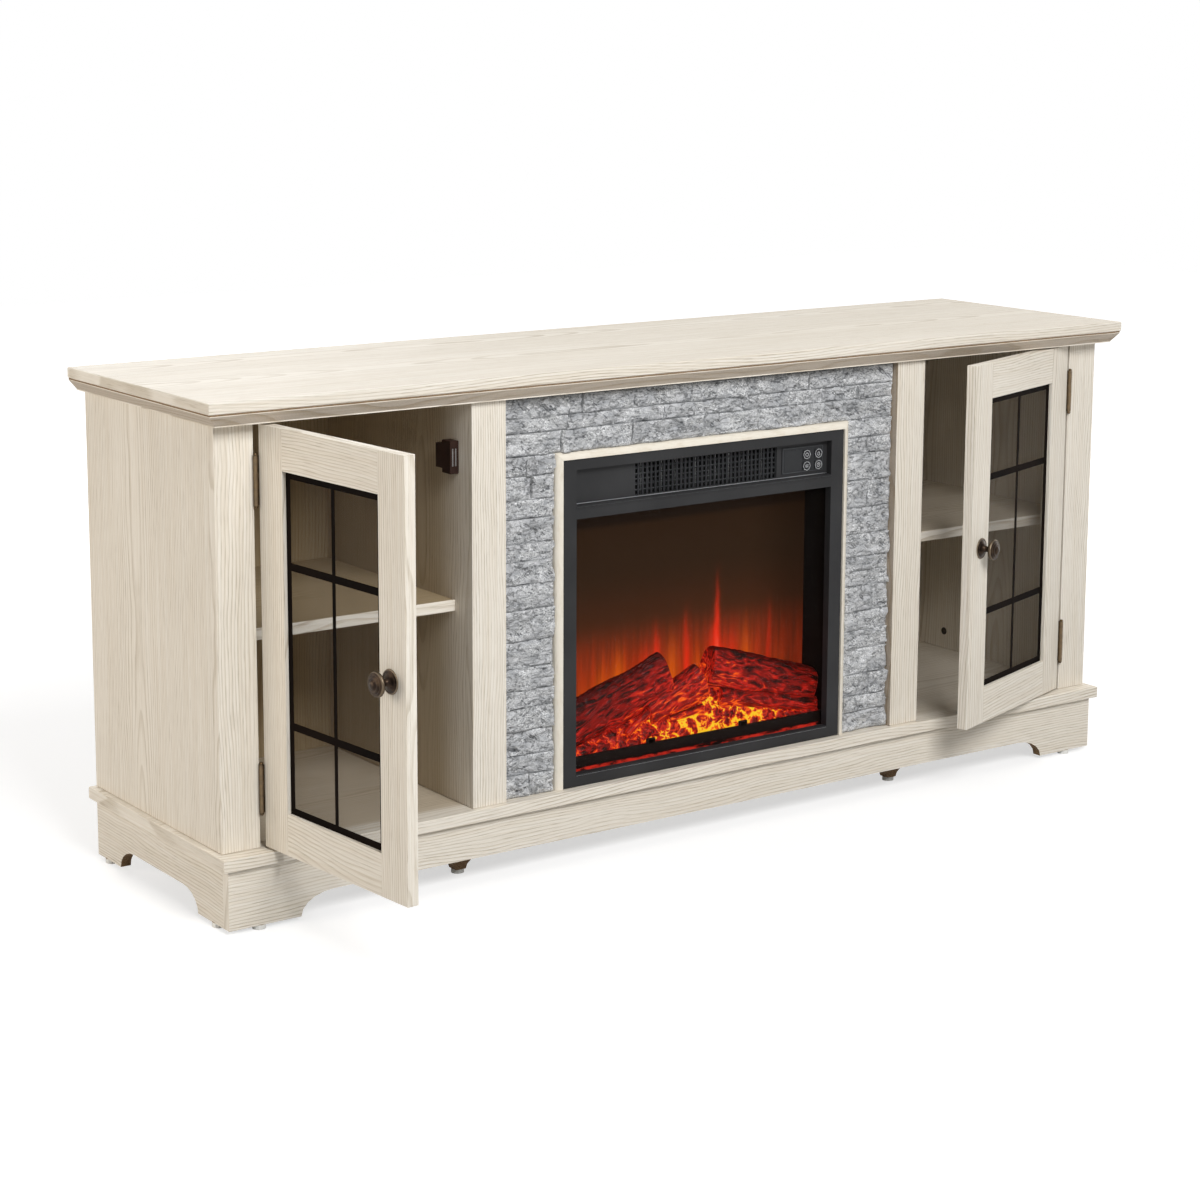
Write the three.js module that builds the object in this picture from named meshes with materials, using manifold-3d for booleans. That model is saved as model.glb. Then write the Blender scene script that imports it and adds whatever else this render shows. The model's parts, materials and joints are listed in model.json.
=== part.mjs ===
// Fireplace TV stand: a pale oak cabinet with a glass-doored compartment at each end and an
// electric firebox in a ledge-stone surround between them, its doors standing open.
// Millimetres. +X is the viewer's right, +Y the back, +Z up. Places are measured from the middle
// plane, from the front face of the outer stiles and from the floor.
import * as THREE from "three";
import { mergeVertices } from "three/addons/utils/BufferGeometryUtils.js";
import Module from "manifold-3d";

const wasm = await Module();
wasm.setup();

// Fits
const seat = 0.25;
const running = 0.35;
const overrun = 1;

// Top and cornice
const topThick = 15;
const topOverhang = 22.5;
const topFrontReach = 34;
const backOverhang = 5;
const topEase = 1.2;
const corniceThick = 17.5;
const corniceInset = 1.5;
const corniceLip = 3;
const corniceFillet = 1.5;

// Body
const boardEase = 0.8;
const bodyBack = 377;
const panelThick = 15;
const stileWidth = 55.5;
const stileThick = 16;
const innerStileWidth = 54;
const innerStileThick = 15;
const shelfThick = 16;
const shelfDrop = 3.5;
const shelfSetback = 28.7;
const backPanelThick = 3;
const cableHoleRadius = 25;

// Base
const ledgeReach = 9.75;
const ledgeFrontReach = 23.8;
const ledgeThick = 17.5;
const skirtHeight = 81;
const skirtThick = 15;
const skirtFrontReach = 15.6;
const archRise = 29;
const frontFoot = 106;
const frontArchRun = 50;
const sideFoot = 72;
const sideArchRun = 43;
const glideHeight = 6;
const glideRadius = 9;
const glideInset = 47;
const sideGlideInset = 28;
const legThick = 18;
const legSetback = 29;
const legFoot = 16;
const legRise = 20;
const legRun = 46;

// Doors
const doorWidth = 313.1;
const doorThick = 16;
const doorGap = 2.75;
const hingeStile = 52.5;
const freeStile = 54.5;
const topRail = 54;
const bottomRail = 55;
const doorEase = 1.5;
const lipDepth = 6;
const rabbetWidth = 6;
const paneThick = 4;
const gridProud = 1;
const gridBorder = 10.5;
const gridBar = 10;
const lowerLight = 116.75;
const upperLight = 121.25;
const knobRadius = 16;
const knobReach = 29;
const knobInset = 32;
const knobDrop = 2;
const catchReach = 13.6;
const catchFront = 17.5;
const catchPlate = 20.5;
const catchBody = 16;
const catchHeight = 45;
const catchBodyHeight = 33;
const catchDrop = 100.5;
const doorsOpen = { left: THREE.MathUtils.degToRad(85.3), right: THREE.MathUtils.degToRad(19.6) };

// Hinges
const axisReach = 3.8;
const leafThick = 1;
const leafGap = 0.3;
const leafHeight = 64;
const leafDepth = 15;
const knuckleRadius = 3.2;
const pinRadius = 1.4;
const pinBore = 1.9;
const pinTip = 1.2;
const lowerHingeInset = 77.75;
const upperHingeInset = 72.75;

// Stone surround and its bead
const columnWidth = 86.5;
const headerRise = 82.85;
const stoneBack = 5;
const stoneFace = 3;
const stoneProudLeast = 3.5;
const stoneProudMost = 8.5;
const stoneRow = 26;
const columnStone = 62;
const headerStone = 92;
const stoneJoint = 1.6;
const stoneChamfer = 1.8;
const stoneRagged = 4;
const beadWidth = 10.4;
const beadReach = 11;
const beadSide = 3;

// Firebox frame
const insertWidth = 504;
const insertHeight = 466;
const bezelReach = 8.5;
const bezelThick = 12;
const bezelEase = 1;
const bezelSide = 23.5;
const bezelTop = 15;
const bezelBottom = 18;
const railHeight = 18.5;
const fasciaHeight = 50.7;
const fasciaSetback = 10.5;
const fasciaThick = 1.5;
const ribHeight = 1.2;
const ribProud = 0.5;
const ribPitch = 2.9;
const paneOverlap = 5.5;
const paneDrop = 9.5;

// Heater grille
const grilleGap = 9.6;
const grilleMargin = 4;
const grilleThick = 2;
const slotCount = 34;
const slotPitch = 7.5;
const slotWidth = 4.2;
const slotHeight = 44.7;
const wireCount = 4;
const wireThick = 1.3;

// Controls
const controlInset = 46.9;
const controlWidth = 78;
const controlHeight = 39;
const controlPlate = 1;
const controlShoulder = 3;
const controlBoss = 3.5;
const controlRadius = 2;
const displayWidth = 29;
const displayHeight = 28;
const displayInset = 4.5;
const displayDepth = 0.6;
const buttonSize = 13;
const buttonRadius = 2.5;
const buttonProud = 1.6;
const buttonFlange = 15.4;
const flangeThick = 1.2;
const buttonPitchX = 22.2;
const buttonPitchZ = 16.9;
const buttonsX = 17.7;
const buttonsZ = 1.6;
const stemRadius = 2;
const stemLength = 1.6;
const switchGap = 1.1;
const switchHeight = 1.6;
const switchSize = 6;
const boardThick = 1.6;
const boardInner = 39.6;
const boardOuter = 47.4;
const postRadius = 2;
const postInset = 3.2;

// Housing and heater
const housingInset = 14;
const housingDrop = 5;
const housingBack = 170;
const sheet = 1.5;
const ventCount = 14;
const ventPitch = 16;
const ventWidth = 5;
const ventHeight = 38;
const glandInset = 48;
const glandRise = 30;
const glandRadius = 8;
const glandReach = 9;
const glandBore = 3.5;
const ductFront = 7.4;
const ductHalf = 28;
const ductSide = 3;
const wheelY = 92;
const wheelRadius = 21;
const wheelEnd = 5;
const wheelDisc = 1.6;
const bladeCount = 16;
const bladeThick = 0.8;
const bladeDepth = 6;
const shaftRadius = 3;
const shaftTail = 4;
const motorRadius = 20;
const motorLength = 30;
const motorBoreDepth = 15;
const intakeWidth = 40;
const ductFoot = 20;
const ductFootInset = 30;
const finCount = 22;
const finThick = 1.2;
const finDepth = 20;
const finSetback = 14;
const finRail = 2.2;

// Flame effect
const screenFront = 60;
const screenThick = 3;
const spindleY = 95;
const spindleRise = 45.25;
const flickerMotorLength = 29.9;
const spindleTail = 4;
const bushRadius = 7;
const bushLength = 12;
const tabCount = 11;
const tabWidth = 24;
const tabReach = 14;
const tabThick = 0.8;
const stubRadius = 1.5;
const stubLength = 11;
const fretFront = 10;
const fretThick = 4;
const fretRise = 21.25;
const fretHeight = 15.5;
const fretTabWidth = 9;
const fretTabRise = 5;
const fretTabShares = [-0.354, 0.36];
const stripHeight = 8;
const stripThick = 2;
const bedFront = 14.6;
const bedBack = 57;
const bedRise = 43.5;
const bedMound = 26;
const bedRough = 5;
const logFlatShare = 0.62;

// Logs, as shares of half the firebox's width from the middle of the bed's top: how thick, the
// places (x, y, z) of both ends, and which bark
const logShares = [
  { thick: 0.144, from: [-0.94, 0, 0.127], to: [-0.2, -0.01, 0.338], bark: 5 },
  { thick: 0.106, from: [-0.262, -0.015, 0.034], to: [0, -0.025, 0.347], bark: 11 },
  { thick: 0.135, from: [0.161, 0, 0.355], to: [0.94, 0, 0.118], bark: 31 },
  { thick: 0.08, from: [-0.634, -0.04, 0.034], to: [-0.042, -0.03, 0.118], bark: 43 },
  { thick: 0.072, from: [0.254, -0.04, 0.051], to: [0.829, -0.04, 0.025], bark: 61 },
];

// Facets
const curveSteps = 5;
const arcSteps = 2;
const roundSides = 12;
const knobSides = 20;
const logSides = 10;
const logRings = 5;
const bedFacets = [18, 3, 1];

// Heights, from the floor up
const skirtTop = glideHeight + skirtHeight;
const ledgeTop = skirtTop + ledgeThick;
const insertUnder = ledgeTop + seat;
const insertTop = insertUnder + insertHeight;
const beadTop = insertTop + seat + beadWidth;
const headerUnder = beadTop + seat;
const corniceUnder = headerUnder + headerRise;
const topUnder = corniceUnder + corniceThick;
const standHeight = topUnder + topThick;
const bodyHeight = [ledgeTop + seat, corniceUnder];
const bodyMiddle = (ledgeTop + corniceUnder) / 2;
const archTop = glideHeight + archRise;
const shelfUnder = bodyMiddle - shelfDrop - shelfThick / 2;

// Widths, from the middle plane out
const beadInner = insertWidth / 2 + seat;
const beadOuter = beadInner + beadWidth;
const columnInner = beadOuter + seat;
const innerStileEdge = columnInner + columnWidth;
const bayHalf = innerStileEdge + innerStileWidth;
const partitionInner = bayHalf - panelThick;
const stileInner = bayHalf + doorWidth + 2 * doorGap;
const bodyHalf = stileInner + stileWidth;
const panelInner = bodyHalf - panelThick;
const ledgeHalf = bodyHalf + ledgeReach;
const topHalf = bodyHalf + topOverhang;
const backReach = bodyBack + backOverhang;

// Finishes
const finish = (color, roughness, metalness = 0) =>
  new THREE.MeshStandardMaterial({ color, roughness, metalness });
const oak = finish(0xddd5c7, 0.6);
const hardboard = finish(0xb9a98f, 0.8);
const rawBoard = finish(0x6b5138, 0.9);
const stone = finish(0xa3a4a6, 0.9);
const beadCream = finish(0xe8e0d0, 0.5);
const blackSteel = finish(0x2c2e2f, 0.5, 0.3);
const greySteel = finish(0x8c8f91, 0.45, 0.8);
const blackPlastic = finish(0x1b1c1d, 0.45);
const smokedGlass = finish(0x4a463c, 0.05);
const bronze = finish(0x3d2b1f, 0.4, 0.8);
const brownPlastic = finish(0x2a1a12, 0.5);
const emberResin = finish(0x7a1c10, 0.7);
const flameAcrylic = finish(0x3a2415, 0.3);
const circuitGreen = finish(0x1f5a35, 0.6);
const finAluminium = finish(0xb5b7b8, 0.4, 0.9);

// A closed geometry as a solid that can be joined and cut, and a solid as a geometry again
function solid(geometry) {
  const bare = geometry.clone();
  bare.deleteAttribute("normal");
  bare.deleteAttribute("uv");
  const merged = mergeVertices(bare);
  return new wasm.Manifold(
    new wasm.Mesh({
      numProp: 3,
      vertProperties: merged.getAttribute("position").array,
      triVerts: new Uint32Array(merged.index.array),
    }),
  );
}

function geometryOf(shape) {
  const { vertProperties, triVerts } = shape.getMesh();
  return new THREE.BufferGeometry()
    .setAttribute("position", new THREE.BufferAttribute(vertProperties, 3))
    .setIndex(new THREE.BufferAttribute(triVerts, 1));
}

function joined(first, ...others) {
  return geometryOf(others.reduce((whole, next) => whole.add(solid(next)), solid(first)));
}

function cut(body, ...tools) {
  return geometryOf(tools.reduce((whole, tool) => whole.subtract(solid(tool)), solid(body)));
}

function common(first, second) {
  return geometryOf(solid(first).intersect(solid(second)));
}

// Spans and flat outlines
const centred = (middle, width) => [middle - width / 2, middle + width / 2];

function outline(points) {
  return new THREE.Shape(points.map(([u, v]) => new THREE.Vector2(u, v)));
}

function rectangle([u0, u1], [v0, v1]) {
  return outline([
    [u0, v0],
    [u1, v0],
    [u1, v1],
    [u0, v1],
  ]);
}

function roundedRectangle([u0, u1], [v0, v1], radius) {
  const shape = new THREE.Shape();
  shape.absarc(u1 - radius, v0 + radius, radius, -Math.PI / 2, 0);
  shape.absarc(u1 - radius, v1 - radius, radius, 0, Math.PI / 2);
  shape.absarc(u0 + radius, v1 - radius, radius, Math.PI / 2, Math.PI);
  shape.absarc(u0 + radius, v0 + radius, radius, Math.PI, Math.PI * 1.5);
  return shape;
}

// A quarter ellipse that leaves its first point upright and meets its last point level
function quarter([u0, v0], [u1, v1]) {
  return Array.from({ length: curveSteps + 1 }, (_, step) => {
    const turn = (step / curveSteps) * (Math.PI / 2);
    return [u1 + (u0 - u1) * Math.cos(turn), v0 + (v1 - v0) * Math.sin(turn)];
  });
}

// An outline given thickness along X, Y or Z, where its own axes are (y, z), (x, z) or (x, y)
const across = {
  x: new THREE.Matrix4().set(0, 0, 1, 0, 1, 0, 0, 0, 0, 1, 0, 0, 0, 0, 0, 1),
  y: new THREE.Matrix4().set(1, 0, 0, 0, 0, 0, -1, 0, 0, 1, 0, 0, 0, 0, 0, 1),
  z: new THREE.Matrix4(),
};

function prism(axis, shape, [from, to], ease = 0) {
  const geometry = new THREE.ExtrudeGeometry(shape, {
    depth: to - from - 2 * ease,
    curveSegments: arcSteps,
    bevelEnabled: ease > 0,
    bevelThickness: ease,
    bevelSize: ease,
    bevelOffset: -ease,
    bevelSegments: 1,
  });
  geometry.translate(0, 0, (axis === "y" ? -to : from) + ease);
  return geometry.applyMatrix4(across[axis]);
}

function board(spanX, spanY, spanZ, ease = 0) {
  return prism("z", rectangle(spanX, spanY), spanZ, ease);
}

// A round bar along X, Y or Z through the given point of the other two axes
function bar(axis, [u, v], radius, [from, to], count = roundSides) {
  const geometry = new THREE.CylinderGeometry(radius, radius, to - from, count);
  const middle = (from + to) / 2;
  geometry.rotateX(Math.PI / 2).translate(u, v, axis === "y" ? -middle : middle);
  return geometry.applyMatrix4(across[axis]);
}

// A named mesh, its own origin in the middle of its box
function place(group, name, material, geometry) {
  geometry.computeBoundingBox();
  const middle = geometry.boundingBox.getCenter(new THREE.Vector3());
  const mesh = new THREE.Mesh(geometry.translate(-middle.x, -middle.y, -middle.z), material);
  mesh.name = name;
  mesh.position.copy(middle);
  group.add(mesh);
}

// The same rolls every time, from 0 to 1, for whatever nature or a mould made uneven
function dice(seed) {
  let state = seed;
  return () => {
    state = (state * 4093 + 12345) % 65536;
    return state / 65536;
  };
}

const stand = new THREE.Group();

// Top board, its arrises eased
place(
  stand,
  "top_board",
  oak,
  board([-topHalf, topHalf], [-topFrontReach, backReach], [topUnder + seat, standHeight], topEase),
);

// Cornice board: lip, chamfer and fillet along the front and mitred round both ends
function corniceEdge(lip, foot) {
  return [
    [lip, topUnder],
    [lip, topUnder - corniceLip],
    [foot, corniceUnder + corniceFillet],
    [foot, corniceUnder],
  ];
}
const corniceHalf = topHalf - corniceInset;
const corniceEnds = outline([
  ...corniceEdge(-corniceHalf, -ledgeHalf),
  ...corniceEdge(corniceHalf, ledgeHalf).reverse(),
]);
const corniceFront = outline([
  ...corniceEdge(corniceInset - topFrontReach, -ledgeFrontReach),
  [backReach, corniceUnder],
  [backReach, topUnder],
]);
const corniceBoard = common(
  prism("y", corniceEnds, [-topFrontReach, backReach + overrun]),
  prism("x", corniceFront, [-topHalf, topHalf]),
);
corniceBoard.translate(0, 0, seat / 2);
place(stand, "cornice_board", oak, corniceBoard);

// Base board, a ledge all round the body
place(
  stand,
  "base_board",
  oak,
  board([-ledgeHalf, ledgeHalf], [-ledgeFrontReach, backReach], [skirtTop + seat, ledgeTop], boardEase),
);

// Nail-on glide under a foot, driven up into it
function glide(x, y) {
  return bar("z", [x, y], glideRadius, [0, glideHeight + overrun]);
}

// Front skirt: two feet joined by a long shallow arch
const footEdge = bodyHalf - frontFoot;
const frontArch = quarter([footEdge, glideHeight], [footEdge - frontArchRun, archTop]);
const frontSkirtShape = outline([
  [-bodyHalf, glideHeight],
  ...frontArch.map(([x, z]) => [-x, z]),
  ...frontArch.reverse(),
  [bodyHalf, glideHeight],
  [bodyHalf, skirtTop],
  [-bodyHalf, skirtTop],
]);
const skirtMiddle = skirtThick / 2 - skirtFrontReach;
place(
  stand,
  "skirt_front",
  oak,
  joined(
    prism("y", frontSkirtShape, [-skirtFrontReach, skirtThick - skirtFrontReach]),
    glide(glideInset - bodyHalf, skirtMiddle),
    glide(bodyHalf - glideInset, skirtMiddle),
  ),
);

// Side skirt behind the front one, with an arch between its two feet
function sideSkirt() {
  const front = skirtThick - skirtFrontReach + seat;
  const back = bodyBack;
  const shape = outline([
    [front, glideHeight],
    ...quarter([front + sideFoot, glideHeight], [front + sideFoot + sideArchRun, archTop]),
    ...quarter([back - sideFoot, glideHeight], [back - sideFoot - sideArchRun, archTop]).reverse(),
    [back, glideHeight],
    [back, skirtTop],
    [front, skirtTop],
  ]);
  const middle = bodyHalf - skirtThick / 2;
  return joined(
    prism("x", shape, [bodyHalf - skirtThick, bodyHalf]),
    glide(middle, front + sideGlideInset),
    glide(middle, back - sideGlideInset),
  );
}

// Raw support leg under the partition, spreading upwards to the base board
function supportLeg() {
  const middle = bayHalf - panelThick / 2;
  const flank = quarter([legFoot / 2, glideHeight], [legFoot / 2 + legRun, glideHeight + legRise]);
  const shape = outline([
    ...flank.map(([x, z]) => [middle + x, z]),
    [middle + legFoot / 2 + legRun, skirtTop],
    [middle - legFoot / 2 - legRun, skirtTop],
    ...flank.reverse().map(([x, z]) => [middle - x, z]),
  ]);
  return joined(
    prism("y", shape, [legSetback, legSetback + legThick]),
    glide(middle, legSetback + legThick / 2),
  );
}

// Hardboard back of a compartment, a cable hole behind each shelf space
function backPanel() {
  const middle = (bayHalf + panelInner) / 2;
  const front = bodyBack - backPanelThick;
  const panel = board([bayHalf + seat, panelInner - seat], [front, bodyBack], [ledgeTop + seat, corniceUnder]);
  const spaces = [
    [ledgeTop, shelfUnder],
    [shelfUnder + shelfThick, corniceUnder],
  ];
  const holes = spaces.map(([under, over]) => (under + over) / 2).map((height) =>
    bar("y", [middle, height], cableHoleRadius, [front - overrun, bodyBack + overrun], knobSides),
  );
  return cut(panel, ...holes);
}

// Magnetic catch on the partition, its plate towards the door
function magneticCatch() {
  const spanX = [bayHalf + seat, bayHalf + catchReach];
  const middle = corniceUnder - catchDrop + catchHeight / 2;
  const plateBack = catchFront + catchPlate;
  return joined(
    board(spanX, [catchFront, plateBack], centred(middle, catchHeight), boardEase),
    board(spanX, [plateBack - overrun, plateBack + catchBody], centred(middle, catchBodyHeight)),
  );
}

// Butt hinge in the gap beside the door: outer knuckles and pin on the stile's leaf, the middle
// knuckle on the door's leaf, each leaf notched round the other's knuckles
const axisX = stileInner - doorGap / 2;
const axisY = -axisReach;
const knuckleHeight = leafHeight / 3;

function leafPlate(spanX, height, notches) {
  const plate = board(spanX, [axisY, leafDepth], centred(height, leafHeight));
  const reach = [axisY - overrun, axisY + knuckleRadius + running];
  const wide = centred(axisX, 2 * knuckleRadius);
  return cut(plate, ...notches.map((notch) => board(wide, reach, centred(notch, knuckleHeight + 2 * running))));
}

function fixedLeaf(height) {
  const inner = axisX + leafGap / 2;
  const ends = [height - knuckleHeight, height + knuckleHeight];
  const knuckles = ends.map((end) =>
    bar("z", [axisX, axisY], knuckleRadius, centred(end, knuckleHeight)),
  );
  const pin = bar("z", [axisX, axisY], pinRadius, centred(height, leafHeight + 2 * pinTip));
  return joined(leafPlate([inner, inner + leafThick], height, [height]), ...knuckles, pin);
}

function doorLeaf(height) {
  const outer = axisX - leafGap / 2;
  const ends = [height - knuckleHeight, height + knuckleHeight];
  const knuckle = bar("z", [axisX, axisY], knuckleRadius, centred(height, knuckleHeight - 2 * running));
  const plate = leafPlate([outer - leafThick, outer], height, ends);
  return cut(joined(plate, knuckle), bar("z", [axisX, axisY], pinBore, centred(height, knuckleHeight)));
}

// Door frame: stiles and rails round the window, rabbeted behind for the glass
const doorSpan = [bayHalf + doorGap, stileInner - doorGap];
const doorHeight = [ledgeTop + doorGap, corniceUnder - doorGap];
const windowSpan = [doorSpan[0] + freeStile, doorSpan[1] - hingeStile];
const windowHeight = [doorHeight[0] + bottomRail, doorHeight[1] - topRail];
const grow = ([from, to], by) => [from - by, to + by];
const lowerHinge = doorHeight[0] + lowerHingeInset;
const upperHinge = doorHeight[1] - upperHingeInset;

function doorFrame() {
  return cut(
    prism("y", rectangle(doorSpan, doorHeight), [0, doorThick], doorEase),
    prism("y", rectangle(windowSpan, windowHeight), [-overrun, doorThick]),
    prism(
      "y",
      rectangle(grow(windowSpan, rabbetWidth), grow(windowHeight, rabbetWidth)),
      [lipDepth, doorThick + overrun],
    ),
  );
}

// Smoked pane in the rabbet, with a black grid of two by three raised on its front
function doorGlass() {
  const pane = rectangle(grow(windowSpan, rabbetWidth - seat), grow(windowHeight, rabbetWidth - seat));
  const face = rectangle(grow(windowSpan, -seat), grow(windowHeight, -seat));
  const middle = (windowSpan[0] + windowSpan[1]) / 2;
  const lowerBar = windowHeight[0] + lowerLight;
  const upperBar = windowHeight[1] - upperLight;
  const columns = [
    [windowSpan[0] + gridBorder, middle - gridBar / 2],
    [middle + gridBar / 2, windowSpan[1] - gridBorder],
  ];
  const rows = [
    [windowHeight[0] + gridBorder, lowerBar - gridBar / 2],
    [lowerBar + gridBar / 2, upperBar - gridBar / 2],
    [upperBar + gridBar / 2, windowHeight[1] - gridBorder],
  ];
  const front = lipDepth + seat;
  const depth = [front - gridProud, front + paneThick / 2];
  const lights = columns.flatMap((column) => rows.map((row) => board(column, grow(depth, overrun), row)));
  return joined(prism("y", pane, [front, front + paneThick]), cut(prism("y", face, depth), ...lights));
}

// Turned knob on a small rosette: shares of its radius and of its reach, from the crown back
const knobShares = [
  [0, 1],
  [0.3, 0.99],
  [0.36, 0.96],
  [0.44, 0.98],
  [0.62, 0.95],
  [0.68, 0.91],
  [0.78, 0.93],
  [0.94, 0.88],
  [1, 0.8],
  [0.96, 0.72],
  [0.62, 0.63],
  [0.34, 0.5],
  [0.31, 0.3],
  [0.4, 0.17],
  [0.61, 0.13],
  [0.61, 0],
  [0, 0],
];

function knob() {
  const profile = knobShares.map(([r, y]) => new THREE.Vector2(r * knobRadius, -y * knobReach));
  const lathe = new THREE.LatheGeometry(profile, knobSides);
  return lathe.translate(doorSpan[0] + knobInset, -seat, bodyMiddle - knobDrop);
}

// Ledge stone: rows of split blocks of uneven width and depth, set close on a backing
function splitInto([from, to], about, roll) {
  const weights = Array.from({ length: Math.round((to - from) / about) }, () => 0.6 + 0.8 * roll());
  const total = weights.reduce((sum, weight) => sum + weight, 0);
  const ends = weights.map((_, i) => weights.slice(0, i + 1).reduce((sum, weight) => sum + weight, 0));
  return ends.map((end, i) => [
    from + ((to - from) * (end - weights[i])) / total,
    from + ((to - from) * end) / total,
  ]);
}

function stoneBlocks([left, right], height, width, roll, raggedEnds) {
  return splitInto(height, stoneRow, roll).flatMap((row) => {
    const start = raggedEnds.start ? left + stoneRagged * roll() : left;
    const stop = raggedEnds.stop ? right - stoneRagged * roll() : right;
    return splitInto([start, stop], width, roll).map((block) => {
      const proud = stoneFace + stoneProudLeast + (stoneProudMost - stoneProudLeast) * roll();
      const shape = rectangle(grow(block, -stoneJoint / 2), grow(row, -stoneJoint / 2));
      return prism("y", shape, [-proud, 0], stoneChamfer);
    });
  });
}

function stoneColumn(seed) {
  const spanX = [columnInner, innerStileEdge - seat];
  const height = [ledgeTop + seat, headerUnder - seat];
  return joined(
    board(spanX, [-stoneFace, stoneBack], height),
    board([innerStileEdge - overrun, partitionInner - seat], [seat, stoneBack], height),
    ...stoneBlocks(spanX, height, columnStone, dice(seed), { start: false, stop: true }),
  );
}

const headerHeight = [headerUnder, corniceUnder];
const headerEdge = innerStileEdge - seat;
place(
  stand,
  "stone_header",
  stone,
  joined(
    board(centred(0, 2 * headerEdge), [-stoneFace, stoneBack], headerHeight),
    board(centred(0, 2 * (partitionInner - seat)), [seat, stoneBack], headerHeight),
    ...stoneBlocks(centred(0, 2 * headerEdge), headerHeight, headerStone, dice(19), {
      start: true,
      stop: true,
    }),
  ),
);

// Cream bead round the firebox, highest beside it and mitred at the top corners
const beadArc = quarter([beadOuter, -beadSide], [beadInner, -beadReach]);

function sideBead() {
  const section = outline([[beadInner, 0], [beadOuter, 0], ...beadArc]);
  const mitre = outline([
    [beadInner - overrun, ledgeTop + seat],
    [beadOuter + overrun, ledgeTop + seat],
    [beadOuter + overrun, beadTop - seat + overrun],
    [beadInner - overrun, beadTop - seat - beadWidth - overrun],
  ]);
  return common(
    prism("z", section, [ledgeTop + seat, beadTop]),
    prism("y", mitre, [-beadReach - overrun, overrun]),
  );
}

const beadRise = beadTop - beadOuter;
const topSection = outline([
  [0, beadInner + beadRise],
  [0, beadOuter + beadRise],
  ...beadArc.map(([u, y]) => [y, u + beadRise]),
]);
const topMitre = outline([
  [-beadOuter, beadTop],
  [-beadInner, beadTop - beadWidth],
  [beadInner, beadTop - beadWidth],
  [beadOuter, beadTop],
]);
place(
  stand,
  "trim_top",
  beadCream,
  common(
    prism("x", topSection, centred(0, 2 * beadOuter)),
    prism("y", topMitre, [-beadReach - overrun, overrun]),
  ),
);

// Firebox frame: window below, sunk fascia above, bright ribs along the edges between
const insertInner = insertWidth / 2 - bezelSide;
const bezelBack = bezelThick - bezelReach;
const fasciaSpan = [insertTop - bezelTop - fasciaHeight, insertTop - bezelTop];
const fasciaFront = fasciaSetback - bezelReach;
const fasciaBack = fasciaFront + fasciaThick;
const fireWindow = [insertUnder + bezelBottom, fasciaSpan[0] - railHeight];
const slotSpan = centred((fasciaSpan[0] + fasciaSpan[1]) / 2, slotHeight);
const controlX = insertInner - controlInset;
const controlZ = slotSpan[0] + slotHeight / 2;
const controlSpan = centred(controlX, controlWidth);
const grilleSpan = [controlSpan[0] - grilleGap - slotCount * slotPitch, controlSpan[0] - grilleGap];
const controlRise = centred(controlZ, controlHeight);
const bossSpan = grow(controlSpan, -controlShoulder);
const bossRise = grow(controlRise, -controlShoulder);

function rib(height) {
  return board(
    centred(0, 2 * insertInner),
    [-bezelReach - ribProud, overrun - bezelReach],
    centred(height, ribHeight),
  );
}
const bezelShape = rectangle(centred(0, insertWidth), [insertUnder, insertTop]);
const bezelInside = centred(0, 2 * insertInner);
place(
  stand,
  "insert_bezel",
  blackSteel,
  joined(
    cut(
      prism("y", bezelShape, [-bezelReach, bezelBack], bezelEase),
      prism("y", rectangle(bezelInside, fireWindow), [-bezelReach - overrun, bezelBack + overrun]),
      prism("y", rectangle(bezelInside, fasciaSpan), [-bezelReach - overrun, fasciaFront]),
      prism("y", rectangle(bezelInside, fasciaSpan), [fasciaBack, bezelBack + overrun]),
      prism("y", rectangle(grilleSpan, slotSpan), [0, bezelBack + overrun]),
      prism("y", rectangle(grow(bossSpan, running), grow(bossRise, running)), [0, bezelBack + overrun]),
    ),
    rib(fasciaSpan[0] - ribHeight),
    rib(fasciaSpan[0] - ribHeight - ribPitch),
    rib(fireWindow[0] - ribHeight),
  ),
);

// Glass of the firebox, behind the frame
place(
  stand,
  "insert_glass",
  smokedGlass,
  board(
    centred(0, 2 * (insertInner + paneOverlap)),
    [bezelBack + seat, bezelBack + seat + paneThick],
    [fireWindow[0] - paneDrop, fireWindow[1] + overrun],
  ),
);

// Heater grille: upright slots, with guard wires across behind them
const grilleFront = bezelBack + seat;
const grilleDepth = [grilleFront, grilleFront + grilleThick];
const slots = Array.from({ length: slotCount }, (_, i) => {
  const x = grilleSpan[0] + (i + 0.5) * slotPitch;
  return board(centred(x, slotWidth), grow(grilleDepth, overrun), slotSpan);
});
const wireFront = grilleDepth[1] + seat;
const wireSpan = grow(grilleSpan, grilleMargin);
const wires = Array.from({ length: wireCount }, (_, i) => {
  const height = slotSpan[0] + ((i + 0.5) * slotHeight) / wireCount;
  return board(wireSpan, [wireFront, wireFront + wireThick], centred(height, wireThick));
});
const wireEnds = [
  [wireSpan[0], grilleSpan[0]],
  [grilleSpan[1], wireSpan[1]],
].map((end) => board(end, [grilleFront + grilleThick / 2, wireFront + wireThick], slotSpan));
place(
  stand,
  "heater_grille",
  blackSteel,
  joined(cut(board(wireSpan, grilleDepth, fasciaSpan), ...slots), ...wires, ...wireEnds),
);

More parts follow.
